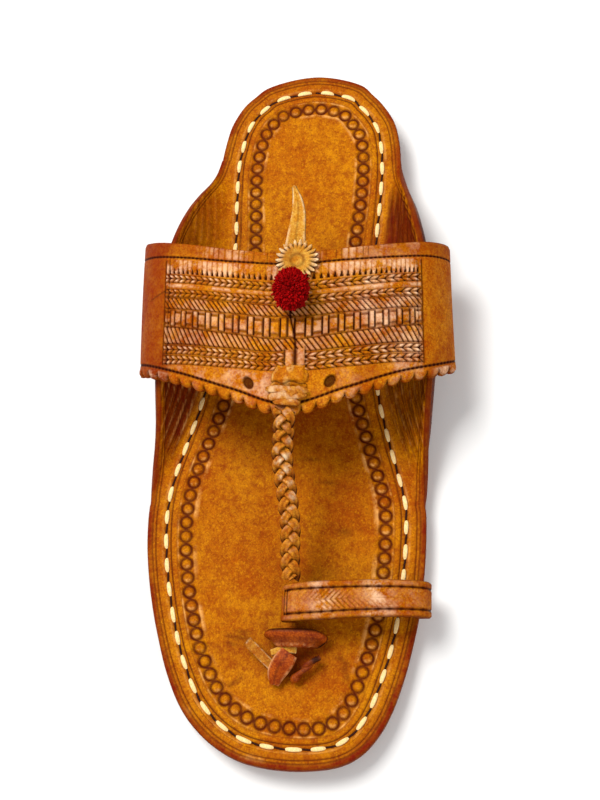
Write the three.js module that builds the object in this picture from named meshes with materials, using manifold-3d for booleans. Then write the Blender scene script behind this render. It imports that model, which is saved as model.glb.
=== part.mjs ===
// A kolhapuri sandal for the right foot, in millimetres. The toe points to -Y, the big-toe side to +X,
// and the sole stands on z = 0. "Station" is the distance from the back of the heel towards the toe.
import * as THREE from 'three';
import { mergeVertices } from 'three/addons/utils/BufferGeometryUtils.js';
import Module from 'manifold-3d';

const wasm = await Module();
wasm.setup();

// Overall sizes
const LENGTH = 270;
const MEET_GAP = 0.3;

// Sole layers
const LIFT_THICK = 4.6;
const OUTSOLE_THICK = 4.4;
const INSOLE_THICK = 3.4;
const BREAST_STATION = 97;
const BREAST_SLANT = 2.4;
const HEEL_FLAT_END = 99;
const WAIST_DROP_END = 152;
const TOE_SPRING_START = 222;
const TOE_SPRING_RISE = 3.6;
const EDGE_BEVEL = 0.8;
const FOOTBED_ROOT = 5;

// The spine that the rings of the sole close in on
const SPINE_START = 35;
const SPINE_END = 228;

// Wings of the insole and the linings under them
const WING_EDGE_THICK = 2.4;
const WING_HINGE_SHARE = 0.55;
const FULL_WING_RISE = 8;
const LINING_THICK = 1.8;
const LINING_BULGE = 2.6;
const LINING_EXTRA_GAP = 0.35;
const LINING_SEAM_SHARE = 0.35;
const LINING_ROOT_GAP = 1.1;
const LINING_END_PUFF = 0.35;
const LINING_START = 52;
const LINING_END = 156;

// Instep band
const BAND_THICK = 2.4;
const BAND_CROWN = 1.2;
const BAND_DROOP_DIVISOR = 225;
const SCALLOP_COUNT = 30;
const SCALLOP_DEPTH = 2;
const STEPS_PER_SCALLOP = 4;

// Toe strap, braid and the knot in front of the strap
const STRAP_THICK = 2.2;
const POST_HALF_WIDTH = 3.6;
const POST_HALF_THICK = 1.5;
const BRAID_SWING_START = 2.5;
const BRAID_SWING_END = 1.9;
const BRAID_LIFT = 0.95;
const BRAID_PERIOD = 15;
const BRAID_STEPS = 26;
const STRAND_HALF_WIDTH = 1.85;
const STRAND_HALF_THICK = 1.15;
const THONG_THICK = 1.8;

// Ornament on the band
const ROSETTE_RADIUS = 7.7;
const ROSETTE_TEETH = 22;
const ROSETTE_THICK = 1.2;
const ROSETTE_PLEAT = 0.3;
const ROSETTE_FLARE = 0.4;
const ROSETTE_CENTRE = { across: 1.5, station: 96.2 };
const POMPOM_SIZE = { across: 5.8, along: 7.2, up: 5.6 };
const POMPOM_CENTRE = { across: 0.8, station: 110.4 };
const POMPOM_STAND = 0.8;
const ORNAMENT_PAD_GAP = 0.25;

// Edge of the sole leather: the outsole, and the insole in front of and behind its wings
const soleEdge = [
  { station: 3.5, lateral: -18.4, medial: 19.3 },
  { station: 7.7, lateral: -23.6, medial: 23.6 },
  { station: 11.8, lateral: -27.6, medial: 27.3 },
  { station: 20, lateral: -32, medial: 32.3 },
  { station: 28, lateral: -34, medial: 34.3 },
  { station: 38, lateral: -35.4, medial: 35.2 },
  { station: 52, lateral: -35.4, medial: 34.8 },
  { station: 73, lateral: -34.4, medial: 33 },
  { station: 95, lateral: -35.2, medial: 31.6 },
  { station: 115, lateral: -38.2, medial: 32 },
  { station: 134, lateral: -43.2, medial: 34.6 },
  { station: 150, lateral: -48.4, medial: 39 },
  { station: 162, lateral: -52.4, medial: 42.8 },
  { station: 175, lateral: -55.2, medial: 46.4 },
  { station: 188, lateral: -55.4, medial: 46.9 },
  { station: 200, lateral: -54.2, medial: 46.4 },
  { station: 213, lateral: -51.8, medial: 45.2 },
  { station: 225, lateral: -48.7, medial: 43 },
  { station: 238, lateral: -44.4, medial: 39.8 },
  { station: 250, lateral: -38.4, medial: 35.6 },
  { station: 258, lateral: -31.6, medial: 31.2 },
  { station: 264, lateral: -23.6, medial: 25.8 },
  { station: 268, lateral: -14.4, medial: 18.4 },
];
const heelTip = { station: 0, across: 0 };
const toeTip = { station: LENGTH, across: 1.8 };

// Edge of the insole where it spreads into wings, and how high that edge stands above the footbed
const wingEdge = [
  { station: 38, lateral: -36, medial: 35.3, rise: 0 },
  { station: 46, lateral: -38.4, medial: 36.4, rise: 3 },
  { station: 54, lateral: -41.4, medial: 38.4, rise: 8 },
  { station: 62, lateral: -44.2, medial: 40.6, rise: 12.6 },
  { station: 72, lateral: -47.2, medial: 43, rise: 16.2 },
  { station: 84, lateral: -49.9, medial: 45.6, rise: 18.2 },
  { station: 100, lateral: -51.8, medial: 48.2, rise: 19 },
  { station: 116, lateral: -52.2, medial: 49.2, rise: 19 },
  { station: 128, lateral: -51.8, medial: 48.8, rise: 18.2 },
  { station: 138, lateral: -51.6, medial: 48, rise: 16 },
  { station: 147, lateral: -52, medial: 47.4, rise: 12 },
  { station: 155, lateral: -53, medial: 47, rise: 7.4 },
  { station: 163, lateral: -54.3, medial: 46.8, rise: 3.2 },
  { station: 171, lateral: -55.2, medial: 46.7, rise: 0.8 },
];

// Edges of the instep band, from the hem tucked in at the lateral wing to the medial one
const bandEdge = [
  { place: 'lateral hem', backX: -52.4, backS: 84, backZ: 20.4, frontX: -53, frontS: 125.4, frontZ: 18 },
  { place: 'lateral turn', backX: -56.4, backS: 82, backZ: 18.8, frontX: -56.2, frontS: 127.2, frontZ: 16.8 },
  { place: 'lateral fold', backX: -59.8, backS: 79, backZ: 24.5, frontX: -58.4, frontS: 129.6, frontZ: 22.4 },
  { place: 'lateral side', backX: -54.6, backS: 81.5, backZ: 34, frontX: -53.6, frontS: 132.8, frontZ: 31 },
  { place: 'lateral slope', backX: -41, backS: 86, backZ: 42.4, frontX: -40, frontS: 138.2, frontZ: 38.4 },
  { place: 'lateral top', backX: -21, backS: 91, backZ: 47.8, frontX: -20, frontS: 145.6, frontZ: 43 },
  { place: 'crown', backX: -1, backS: 93.4, backZ: 49.6, frontX: -0.6, frontS: 151.8, frontZ: 44.8 },
  { place: 'medial top', backX: 19, backS: 90.6, backZ: 47.6, frontX: 19.6, frontS: 145, frontZ: 43 },
  { place: 'medial slope', backX: 36, backS: 86.4, backZ: 41.8, frontX: 37.6, frontS: 137.4, frontZ: 38 },
  { place: 'medial side', backX: 49.2, backS: 82.5, backZ: 33.6, frontX: 51.4, frontS: 131.8, frontZ: 30 },
  { place: 'medial fold', backX: 54.2, backS: 81, backZ: 25, frontX: 56.6, frontS: 127.6, frontZ: 22 },
  { place: 'medial turn', backX: 50.8, backS: 83, backZ: 19.2, frontX: 54.2, frontS: 125.2, frontZ: 16.6 },
  { place: 'medial hem', backX: 47, backS: 85, backZ: 20.8, frontX: 50.8, frontS: 123.4, frontZ: 18.2 },
];

// Middle line of the toe strap, from its root at the toe post to its root at the medial edge
const strapLine = [
  { place: 'post root', across: 0.8, station: 213.6, height: 9.9, width: 11 },
  { place: 'post turn', across: -2.2, station: 213.6, height: 15.5, width: 12.6 },
  { place: 'post shoulder', across: 0.6, station: 213.6, height: 20.8, width: 13.4 },
  { place: 'top', across: 12, station: 213, height: 23.4, width: 13.4 },
  { place: 'middle', across: 26, station: 212.2, height: 24, width: 13 },
  { place: 'slope', across: 39, station: 211.6, height: 22.4, width: 12.8 },
  { place: 'edge shoulder', across: 47.4, station: 211.2, height: 18, width: 12.6 },
  { place: 'edge turn', across: 48.6, station: 211, height: 13.6, width: 12.2 },
  { place: 'edge root', across: 44.6, station: 211, height: 9.9, width: 11.4 },
];

// Middle line of the braid, from the tip of the band down to the toe strap
const braidLine = [
  { across: -0.6, station: 151.4, height: 48.7 },
  { across: -0.7, station: 154.4, height: 48.2 },
  { across: -1.2, station: 159, height: 44.2 },
  { across: -1.9, station: 167, height: 38.9 },
  { across: -0.6, station: 177, height: 34 },
  { across: 0.6, station: 188, height: 29.2 },
  { across: 0.4, station: 198, height: 24.8 },
  { across: 0.6, station: 205.4, height: 21.6 },
];

// The rolled loop round the strap's root, and the cut ends of the thongs that knot it
const postLine = [
  { across: -6.8, station: 222.8, height: 11.4 },
  { across: -5.5, station: 224.2, height: 15 },
  { across: 1.8, station: 225.2, height: 17.2 },
  { across: 8.4, station: 225.8, height: 15.4 },
  { across: 11.2, station: 226.8, height: 11.4 },
];
const squareEnd = [
  { across: -6.2, station: 234.8, height: 10, width: 3.5 },
  { across: -9, station: 232.4, height: 10.4, width: 3.5 },
  { across: -12.2, station: 229.4, height: 11.6, width: 3.5 },
  { across: -15.4, station: 226.4, height: 13.2, width: 3.5 },
];
const foldedEnd = [
  { across: 0.2, station: 230.4, height: 15.2, width: 6.2 },
  { across: -1.8, station: 233.4, height: 15, width: 7.4 },
  { across: -4.2, station: 237, height: 13.2, width: 6.6 },
  { across: -5.2, station: 241, height: 11.2, width: 2.8 },
];
const twistedEnd = [
  { across: 10.2, station: 231.6, height: 12.2 },
  { across: 7.6, station: 233.8, height: 12.4 },
  { across: 3, station: 237.6, height: 12 },
  { across: -0.8, station: 241, height: 11.2 },
];
const TWISTED_RADIUS = 1.7;

// The pointed tail behind the band
const tailLine = [
  { across: 0.2, station: 90, height: 46.2, width: 8 },
  { across: 0.4, station: 84, height: 46.4, width: 6.6 },
  { across: 0.8, station: 76, height: 46, width: 5.2 },
  { across: 0, station: 69.5, height: 45.2, width: 3.6 },
  { across: -1.6, station: 63.8, height: 44.4, width: 1.2 },
];

function point(across, station, height) {
  return new THREE.Vector3(across, LENGTH / 2 - station, height);
}

function mix(a, b, share) {
  return a + (b - a) * share;
}

// A smooth ramp from 0 to 1 between two stations
function ramp(value, from, to) {
  return THREE.MathUtils.smoothstep(value, from, to);
}

// Height of the underside of the outsole: up on the heel lift, down at the ball, up again at the toe
function underside(station) {
  const heel = (LIFT_THICK + MEET_GAP) * (1 - ramp(station, HEEL_FLAT_END, WAIST_DROP_END));
  const toe = Math.max(0, (station - TOE_SPRING_START) / (LENGTH - TOE_SPRING_START));
  return heel + TOE_SPRING_RISE * toe * toe;
}

function footbed(station) {
  return underside(station) + OUTSOLE_THICK + MEET_GAP + INSOLE_THICK;
}

// Reads a column of a table at any station, by straight steps between its rows
function readTable(rows, column, station) {
  let row = 0;
  while (row < rows.length - 2 && rows[row + 1].station < station) row += 1;
  const low = rows[row];
  const high = rows[row + 1];
  const share = THREE.MathUtils.clamp((station - low.station) / (high.station - low.station), 0, 1);
  return mix(low[column], high[column], share);
}

// One side of an outline as a smooth curve from heel tip to toe tip
function sideCurve(rows, column) {
  const other = column === 'lateral' ? 'medial' : 'lateral';
  const tips = [heelTip, toeTip].map((tip) => new THREE.Vector3(tip.across, tip.station, 0));
  const side = rows.map((row) => new THREE.Vector3(row[column], row.station, 0));
  const back = rows.map((row) => new THREE.Vector3(row[other], row.station, 0)).reverse();
  const loop = new THREE.CatmullRomCurve3([tips[0], ...side, tips[1], ...back], true, 'centripetal');
  const toeAt = (rows.length + 1) / (2 * rows.length + 2);
  return { loop, toeAt };
}

// Where such a side stands at a given station
function sideAt(curve, station) {
  let low = 0;
  let high = curve.toeAt;
  for (let step = 0; step < 30; step += 1) {
    const middle = (low + high) / 2;
    if (curve.loop.getPoint(middle).y < station) low = middle;
    else high = middle;
  }
  return curve.loop.getPoint((low + high) / 2).x;
}

const insoleRows = [
  ...soleEdge.filter((row) => row.station < wingEdge[0].station - 2),
  ...wingEdge,
  ...soleEdge.filter((row) => row.station > wingEdge[wingEdge.length - 1].station + 2),
];

// Stations at which every layer of the sole has its sections
const stations = [0, 0.9, 3.2, 6.8, 11.6, 17.6, 25, 33];
for (let station = 40; station < 172; station += 10) stations.push(station);
stations.push(179, 189, 200, 211, 221, 230, 238, 245, 251, 256.5, 261.2, 265, 267.8, 269.5, LENGTH);

// A ring of outline points: heel tip, lateral side, toe tip, medial side back to the heel
function outlineRing(rows) {
  const lateral = sideCurve(rows, 'lateral');
  const medial = sideCurve(rows, 'medial');
  const inner = stations.slice(1, -1);
  const ring = [{ across: heelTip.across, station: 0, side: 0 }];
  for (const station of inner) ring.push({ across: sideAt(lateral, station), station, side: -1 });
  ring.push({ across: toeTip.across, station: LENGTH, side: 0 });
  for (const station of [...inner].reverse()) {
    ring.push({ across: sideAt(medial, station), station, side: 1 });
  }
  return ring;
}

const soleRing = outlineRing(soleEdge);
const insoleRing = outlineRing(insoleRows);

// The point of the spine that a ring point closes in on
function spinePoint(index) {
  const station = THREE.MathUtils.clamp(soleRing[index].station, SPINE_START, SPINE_END);
  const across = station < SPINE_END ? mix(0, -4.5, ramp(station, 120, 170)) : -4.5;
  return { across, station };
}

// The ring moved inward by a distance, or by a share of the way to the spine
function insetRing(distance, share) {
  return soleRing.map((edge, index) => {
    const target = spinePoint(index);
    const dx = target.across - edge.across;
    const ds = target.station - edge.station;
    const reach = Math.hypot(dx, ds);
    const root = Math.min(1, distance / reach);
    const move = mix(root, 1, share);
    return { across: edge.across + dx * move, station: edge.station + ds * move };
  });
}

// Turns lists of rings or rows of points into one closed solid
function solidFromQuads(quads) {
  const positions = [];
  for (const [a, b, c, d] of quads) {
    for (const corner of [a, b, c, a, c, d]) positions.push(corner.x, corner.y, corner.z);
  }
  const geometry = new THREE.BufferGeometry();
  geometry.setAttribute('position', new THREE.Float32BufferAttribute(positions, 3));
  return dropThin(mergeVertices(geometry, 1e-3));
}

// Removes triangles whose corners have merged
function dropThin(geometry) {
  const index = Array.from(geometry.index.array);
  const kept = [];
  for (let at = 0; at < index.length; at += 3) {
    const [a, b, c] = index.slice(at, at + 3);
    if (a !== b && b !== c && c !== a) kept.push(a, b, c);
  }
  geometry.setIndex(kept);
  return geometry;
}

// Quads between successive closed rings
function ringQuads(rings, flip) {
  const quads = [];
  for (let level = 0; level < rings.length - 1; level += 1) {
    const outer = rings[level];
    const inner = rings[level + 1];
    for (let index = 0; index < outer.length; index += 1) {
      const next = (index + 1) % outer.length;
      const quad = [outer[index], outer[next], inner[next], inner[index]];
      quads.push(flip ? quad.reverse() : quad);
    }
  }
  return quads;
}

// A flat layer of sole leather between two heights that follow the station
function soleLayer(lowHeight, highHeight) {
  const insets = [[0, 0], [EDGE_BEVEL, 0], [FOOTBED_ROOT, 0], [FOOTBED_ROOT, 0.5], [0, 1]];
  const plans = insets.map(([distance, share]) => insetRing(distance, share));
  const raise = (plan, height, trim) => plan.map((p) => point(p.across, p.station, height(p.station) + trim));
  const top = [raise(plans[0], highHeight, -EDGE_BEVEL)];
  const bottom = [raise(plans[0], lowHeight, EDGE_BEVEL)];
  for (const plan of plans.slice(1)) {
    top.push(raise(plan, highHeight, 0));
    bottom.push(raise(plan, lowHeight, 0));
  }
  const wall = [bottom[0], top[0]];
  return solidFromQuads([...ringQuads(top, false), ...ringQuads(bottom, true), ...ringQuads(wall, false)]);
}

// Normals of a grid of points; wrap joins the last column to the first
function gridNormals(grid, wrap) {
  return grid.map((row, v) => row.map((unused, u) => {
    const columns = row.length;
    const before = wrap ? (u + columns - 1) % columns : Math.max(0, u - 1);
    const after = wrap ? (u + 1) % columns : Math.min(columns - 1, u + 1);
    const low = grid[Math.max(0, v - 1)][u];
    const high = grid[Math.min(grid.length - 1, v + 1)][u];
    const alongRow = new THREE.Vector3().subVectors(row[after], row[before]);
    const acrossRows = new THREE.Vector3().subVectors(high, low);
    return alongRow.cross(acrossRows).normalize();
  }));
}

function offsetGrid(grid, normals, amount) {
  return grid.map((row, v) => row.map((p, u) => p.clone().addScaledVector(normals[v][u], amount(v, u))));
}

// A sheet of leather from the grid of its middle surface and its thickness
function sheetSolid(grid, thickness) {
  const normals = gridNormals(grid, false);
  const top = offsetGrid(grid, normals, (v, u) => thickness(v, u) / 2);
  const bottom = offsetGrid(grid, normals, (v, u) => -thickness(v, u) / 2);
  const quads = [];
  const rows = grid.length;
  const columns = grid[0].length;
  for (let v = 0; v < rows - 1; v += 1) {
    for (let u = 0; u < columns - 1; u += 1) {
      quads.push([top[v][u], top[v][u + 1], top[v + 1][u + 1], top[v + 1][u]]);
      quads.push([bottom[v][u], bottom[v + 1][u], bottom[v + 1][u + 1], bottom[v][u + 1]]);
    }
  }
  for (let u = 0; u < columns - 1; u += 1) {
    quads.push([bottom[0][u], bottom[0][u + 1], top[0][u + 1], top[0][u]]);
    quads.push([top[rows - 1][u], top[rows - 1][u + 1], bottom[rows - 1][u + 1], bottom[rows - 1][u]]);
  }
  for (let v = 0; v < rows - 1; v += 1) {
    quads.push([top[v][0], top[v + 1][0], bottom[v + 1][0], bottom[v][0]]);
    const last = columns - 1;
    quads.push([bottom[v][last], bottom[v + 1][last], top[v + 1][last], top[v][last]]);
  }
  return solidFromQuads(quads);
}

function smoothCurve(points) {
  return new THREE.CatmullRomCurve3(points, false, 'centripetal');
}

// A flat strip swept along a table of middle points, square to a given direction
function stripGrid(line, samples, lie, columns) {
  const middle = smoothCurve(line.map((row) => point(row.across, row.station, row.height)));
  const widths = new THREE.CatmullRomCurve3(line.map((row, index) => new THREE.Vector3(index, row.width, 0)));
  const rows = [];
  for (let step = 0; step <= samples; step += 1) {
    const share = step / samples;
    const tangent = middle.getTangent(share);
    const side = new THREE.Vector3().crossVectors(tangent, lie).normalize();
    const centre = middle.getPoint(share);
    const width = widths.getPoint(share).y;
    const row = [];
    for (let column = 0; column <= columns; column += 1) {
      row.push(centre.clone().addScaledVector(side, width * (column / columns - 0.5)));
    }
    rows.push(row);
  }
  return rows;
}

// A tube of oval section along a list of centres, kept upright
function tubeSolid(centres, halfWidth, halfThick, sides, upright) {
  const rings = centres.map((centre, index) => {
    const before = centres[Math.max(0, index - 1)];
    const after = centres[Math.min(centres.length - 1, index + 1)];
    const tangent = new THREE.Vector3().subVectors(after, before).normalize();
    const side = new THREE.Vector3().crossVectors(tangent, upright).normalize();
    const normal = new THREE.Vector3().crossVectors(side, tangent).normalize();
    const ring = [];
    for (let corner = 0; corner < sides; corner += 1) {
      const angle = ((corner + 0.5) / sides) * 2 * Math.PI;
      const p = centre.clone().addScaledVector(side, halfWidth * Math.cos(angle));
      ring.push(p.addScaledVector(normal, halfThick * Math.sin(angle)));
    }
    return ring;
  });
  const first = rings[0].map(() => centres[0]);
  const last = rings[0].map(() => centres[centres.length - 1]);
  return solidFromQuads(ringQuads([first, ...rings, last], true));
}

function curvePoints(line, samples) {
  return smoothCurve(line.map((row) => point(row.across, row.station, row.height))).getPoints(samples);
}

function toManifold(geometry) {
  const bare = mergeVertices(geometry, 1e-3);
  return new wasm.Manifold(new wasm.Mesh({
    numProp: 3,
    vertProperties: new Float32Array(bare.attributes.position.array),
    triVerts: new Uint32Array(bare.index.array),
  }));
}

function fromManifold(solid) {
  const mesh = solid.getMesh();
  const geometry = new THREE.BufferGeometry();
  geometry.setAttribute('position', new THREE.BufferAttribute(new Float32Array(mesh.vertProperties), 3));
  geometry.setIndex(Array.from(mesh.triVerts));
  return geometry;
}

// Sole layers
function makeOutsole() {
  return soleLayer(underside, (station) => underside(station) + OUTSOLE_THICK);
}

function makeHeelLift() {
  const block = soleLayer(() => 0, () => LIFT_THICK);
  const profile = new THREE.Shape();
  profile.moveTo(-10, -1);
  profile.lineTo(BREAST_STATION + BREAST_SLANT, -1);
  profile.lineTo(BREAST_STATION, LIFT_THICK + 1);
  profile.lineTo(-10, LIFT_THICK + 1);
  const cutter = new THREE.ExtrudeGeometry(profile, { depth: LENGTH, bevelEnabled: false });
  cutter.deleteAttribute('normal');
  cutter.deleteAttribute('uv');
  cutter.applyMatrix4(new THREE.Matrix4().set(
    0, 0, -1, LENGTH / 2,
    -1, 0, 0, LENGTH / 2,
    0, 1, 0, 0,
    0, 0, 0, 1,
  ));
  return fromManifold(toManifold(block).intersect(toManifold(cutter)));
}

// Middle surface of the insole: flat footbed inside the root line, bending up to the wing edge outside it
const BEND_SHARES = [1, 0.76, 0.5, 0.24];
function insoleRings() {
  const root = insetRing(FOOTBED_ROOT, 0);
  const rings = [];
  for (const share of BEND_SHARES) {
    rings.push(insoleRing.map((edge, index) => {
      const inside = root[index];
      const rise = edge.side === 0 ? 0 : wingRise(edge.station);
      const hinge = {
        across: mix(inside.across, edge.across, WING_HINGE_SHARE),
        station: mix(inside.station, edge.station, WING_HINGE_SHARE),
      };
      const across = bend(inside.across, hinge.across, edge.across, share);
      const station = bend(inside.station, hinge.station, edge.station, share);
      const thick = mix(INSOLE_THICK, WING_EDGE_THICK, share * Math.min(1, rise / FULL_WING_RISE));
      return point(across, station, footbed(station) - thick / 2 + rise * share * share);
    }));
  }
  for (const [distance, share] of [[FOOTBED_ROOT, 0], [FOOTBED_ROOT, 0.5], [0, 1]]) {
    const plan = insetRing(distance, share);
    rings.push(plan.map((p) => point(p.across, p.station, footbed(p.station) - INSOLE_THICK / 2)));
  }
  return rings;
}

function wingRise(station) {
  if (station < wingEdge[0].station || station > wingEdge[wingEdge.length - 1].station) return 0;
  return readTable(wingEdge, 'rise', station);
}

function bend(start, hinge, end, share) {
  return mix(mix(start, hinge, share), mix(hinge, end, share), share);
}

function insoleFaces() {
  const rings = insoleRings();
  const normals = gridNormals(rings, true).map((ring) => ring.map((n) => (n.z < 0 ? n.negate() : n)));
  const footbedLevel = BEND_SHARES.length + 1;
  const thick = (level, index) => {
    if (level >= BEND_SHARES.length) return INSOLE_THICK;
    const rise = wingRise(insoleRing[index].station);
    return mix(INSOLE_THICK, WING_EDGE_THICK, BEND_SHARES[level] * Math.min(1, rise / FULL_WING_RISE));
  };
  for (let level = footbedLevel; level < rings.length; level += 1) {
    for (const normal of normals[level]) normal.set(0, 0, 1);
  }
  return {
    top: offsetGrid(rings, normals, (v, u) => thick(v, u) / 2),
    bottom: offsetGrid(rings, normals, (v, u) => -thick(v, u) / 2),
    normals,
  };
}

function makeInsole() {
  const { top, bottom } = insoleFaces();
  const wall = ringQuads([bottom[0], top[0]], false);
  return solidFromQuads([...ringQuads(top, false), ...ringQuads(bottom, true), ...wall]);
}

// The soft lining under a wing, from the edge of the outsole to a seam just inside the wing's edge
function makeLining(side) {
  const { bottom, normals } = insoleFaces();
  const columns = [];
  for (let index = 0; index < soleRing.length; index += 1) {
    const { station } = soleRing[index];
    const edge = insoleRing[index];
    if (edge.side === side && station >= LINING_START && station <= LINING_END) columns.push(index);
  }
  const first = soleRing[columns[0]].station;
  const last = soleRing[columns[columns.length - 1]].station;
  const rows = [];
  for (const share of [0, 0.25, 0.5, 0.75, 1]) {
    rows.push(columns.map((index) => {
      const outer = bottom[1][index].clone().lerp(bottom[2][index], LINING_SEAM_SHARE);
      const inner = liningRoot(bottom, index, side);
      const along = (soleRing[index].station - first) / (last - first);
      const swell = mix(LINING_END_PUFF, 1, Math.sin(Math.PI * along));
      const puff = LINING_BULGE * Math.sin(Math.PI * share) * swell;
      const down = normals[2][index].clone().negate();
      const at = inner.lerp(outer, share);
      return at.addScaledVector(down, MEET_GAP + LINING_THICK / 2 + LINING_EXTRA_GAP + puff);
    }));
  }
  return sheetSolid(rows, () => LINING_THICK);
}

// The place on the wing's underside that stands just outside the outsole
function liningRoot(bottom, index, side) {
  const limit = soleRing[index].across + side * (LINING_THICK + LINING_ROOT_GAP);
  for (let level = bottom.length - 1; level > 0; level -= 1) {
    const inside = bottom[level][index];
    const outside = bottom[level - 1][index];
    if (side * inside.x <= side * limit && side * outside.x > side * limit) {
      return inside.clone().lerp(outside, (limit - inside.x) / (outside.x - inside.x));
    }
  }
  return bottom[2][index].clone();
}

// Middle surface of the instep band as a grid: rows run from its back edge to its front edge, and columns
// are evenly spaced along the front edge, so that its scallops are all of one width
const BAND_ROWS = [0, 0.3, 0.65, 0.95, 1];
function bandGrid() {
  const back = smoothCurve(bandEdge.map((row) => point(row.backX, row.backS, row.backZ)));
  const front = smoothCurve(bandEdge.map((row) => point(row.frontX, row.frontS, row.frontZ)));
  const columns = SCALLOP_COUNT * STEPS_PER_SCALLOP;
  return BAND_ROWS.map((share) => {
    const row = [];
    for (let column = 0; column <= columns; column += 1) {
      const at = front.getUtoTmapping(column / columns);
      const p = back.getPoint(at).lerp(front.getPoint(at), share);
      p.z += BAND_CROWN * Math.sin(Math.PI * share) * Math.sin(Math.PI * at);
      const phase = (column % STEPS_PER_SCALLOP) / STEPS_PER_SCALLOP;
      if (share === 1) p.y += SCALLOP_DEPTH * (0.5 - Math.sin(Math.PI * phase));
      row.push(p);
    }
    return row;
  });
}

function makeBand() {
  return sheetSolid(bandGrid(), () => BAND_THICK);
}

// Height of the band's outer face at a place near its centre line
const bandMiddle = bandGrid();
function bandTop(across, station) {
  const crownColumn = Math.floor(bandMiddle[0].length / 2);
  const back = bandMiddle[0][crownColumn];
  const front = bandMiddle[BAND_ROWS.length - 2][crownColumn];
  const share = (LENGTH / 2 - station - back.y) / (front.y - back.y);
  const crown = BAND_CROWN * Math.sin(Math.PI * THREE.MathUtils.clamp(share, 0, 1));
  const droop = (across * across) / BAND_DROOP_DIVISOR;
  return mix(back.z, front.z, share) + crown - droop + BAND_THICK / 2;
}

// A small padded patch lying on the band
function makePatch(patch) {
  const arch = (step) => Math.sin((Math.PI * step) / patch.steps);
  const swell = (v, u) => patch.pad * arch(v) * arch(u);
  const grid = [];
  for (let v = 0; v <= patch.steps; v += 1) {
    const station = mix(patch.back, patch.front, v / patch.steps);
    const half = mix(patch.backHalf, patch.frontHalf, v / patch.steps);
    const row = [];
    for (let u = 0; u <= patch.steps; u += 1) {
      const across = patch.centre + mix(-half, half, u / patch.steps);
      const lift = MEET_GAP + ORNAMENT_PAD_GAP + (patch.thick + swell(v, u)) / 2;
      const height = bandTop(across, station) + lift;
      row.push(point(across, station, height));
    }
    grid.push(row.reverse());
  }
  return sheetSolid(grid, (v, u) => patch.thick + swell(v, u));
}

const frontTab = {
  centre: 0.1,
  back: 135.2,
  front: 142.6,
  backHalf: 4.8,
  frontHalf: 6.2,
  thick: 1.8,
  pad: 0.8,
  steps: 6,
};
const wrapPad = {
  centre: -0.4,
  back: 143.5,
  front: 149.4,
  backHalf: 7.4,
  frontHalf: 3.8,
  thick: 1.8,
  pad: 2.4,
  steps: 8,
};

const UPWARD = new THREE.Vector3(0, 0, 1);

// The toe strap
function makeStrap() {
  const rows = stripGrid(strapLine, 30, UPWARD, 2).map(squareStrapRow);
  return sheetSolid(rows, () => STRAP_THICK);
}

// Keeps each row of the strap parallel to the shoe's length
function squareStrapRow(row) {
  const centre = row[0].clone().lerp(row[row.length - 1], 0.5);
  const width = row[0].distanceTo(row[row.length - 1]);
  return row.map((unused, column) => {
    const p = centre.clone();
    p.y += width * (column / (row.length - 1) - 0.5);
    return p;
  });
}

function makeThong(line) {
  return sheetSolid(stripGrid(line, 8, UPWARD, 2), () => THONG_THICK);
}

function makePost() {
  const lean = new THREE.Vector3(0, -0.6, 0.8);
  return tubeSolid(curvePoints(postLine, 12), POST_HALF_WIDTH, POST_HALF_THICK, 8, lean);
}

function makeTwisted() {
  return tubeSolid(curvePoints(twistedEnd, 12), TWISTED_RADIUS, TWISTED_RADIUS, 8, UPWARD);
}

// Three flat thongs plaited over one another and joined into one piece
function makeBraid() {
  const middle = curvePoints(braidLine, BRAID_STEPS);
  let joined = null;
  for (let strand = 0; strand < 3; strand += 1) {
    let run = 0;
    const centres = middle.map((p, index) => {
      if (index > 0) run += p.distanceTo(middle[index - 1]);
      const phase = (run / BRAID_PERIOD + strand / 3) * 2 * Math.PI;
      const swing = mix(BRAID_SWING_START, BRAID_SWING_END, index / BRAID_STEPS);
      const out = p.clone();
      out.x += swing * Math.sin(phase);
      out.z += BRAID_LIFT * Math.sin(2 * phase);
      return out;
    });
    const lean = new THREE.Vector3(0, 0.4, 0.92);
    const thong = toManifold(tubeSolid(centres, STRAND_HALF_WIDTH, STRAND_HALF_THICK, 6, lean));
    joined = joined === null ? thong : joined.add(thong);
  }
  return fromManifold(joined);
}

// A round of pinked leather, pleated towards its middle
function makeRosette() {
  const spokes = ROSETTE_TEETH * 2;
  const bandBack = bandEdge[6].backS;
  const rings = [1, 0.65, 0.25].map((share) => {
    const ring = [];
    for (let spoke = 0; spoke < spokes; spoke += 1) {
      const angle = (spoke / spokes) * 2 * Math.PI;
      const tooth = share === 1 && spoke % 2 === 1 ? 0.88 : 1;
      const radius = ROSETTE_RADIUS * share * tooth;
      const pleat = ROSETTE_PLEAT * share * (spoke % 2 === 0 ? 1 : -1);
      const across = ROSETTE_CENTRE.across + radius * Math.cos(angle);
      const station = ROSETTE_CENTRE.station - radius * Math.sin(angle);
      const rest = bandTop(across, Math.max(station, bandBack)) + MEET_GAP + ROSETTE_THICK / 2;
      ring.push(point(across, station, rest + ROSETTE_PLEAT + pleat + ROSETTE_FLARE * share));
    }
    return ring;
  });
  const { across, station } = ROSETTE_CENTRE;
  const hub = point(across, station, bandTop(across, station) + MEET_GAP + ROSETTE_THICK / 2 + ROSETTE_PLEAT);
  rings.push(rings[0].map(() => hub));
  const lift = (amount) => rings.map((ring) => ring.map((p) => new THREE.Vector3(p.x, p.y, p.z + amount)));
  const top = lift(ROSETTE_THICK / 2);
  const bottom = lift(-ROSETTE_THICK / 2);
  const wall = ringQuads([bottom[0], top[0]], false);
  return solidFromQuads([...ringQuads(top, false), ...ringQuads(bottom, true), ...wall]);
}

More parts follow.
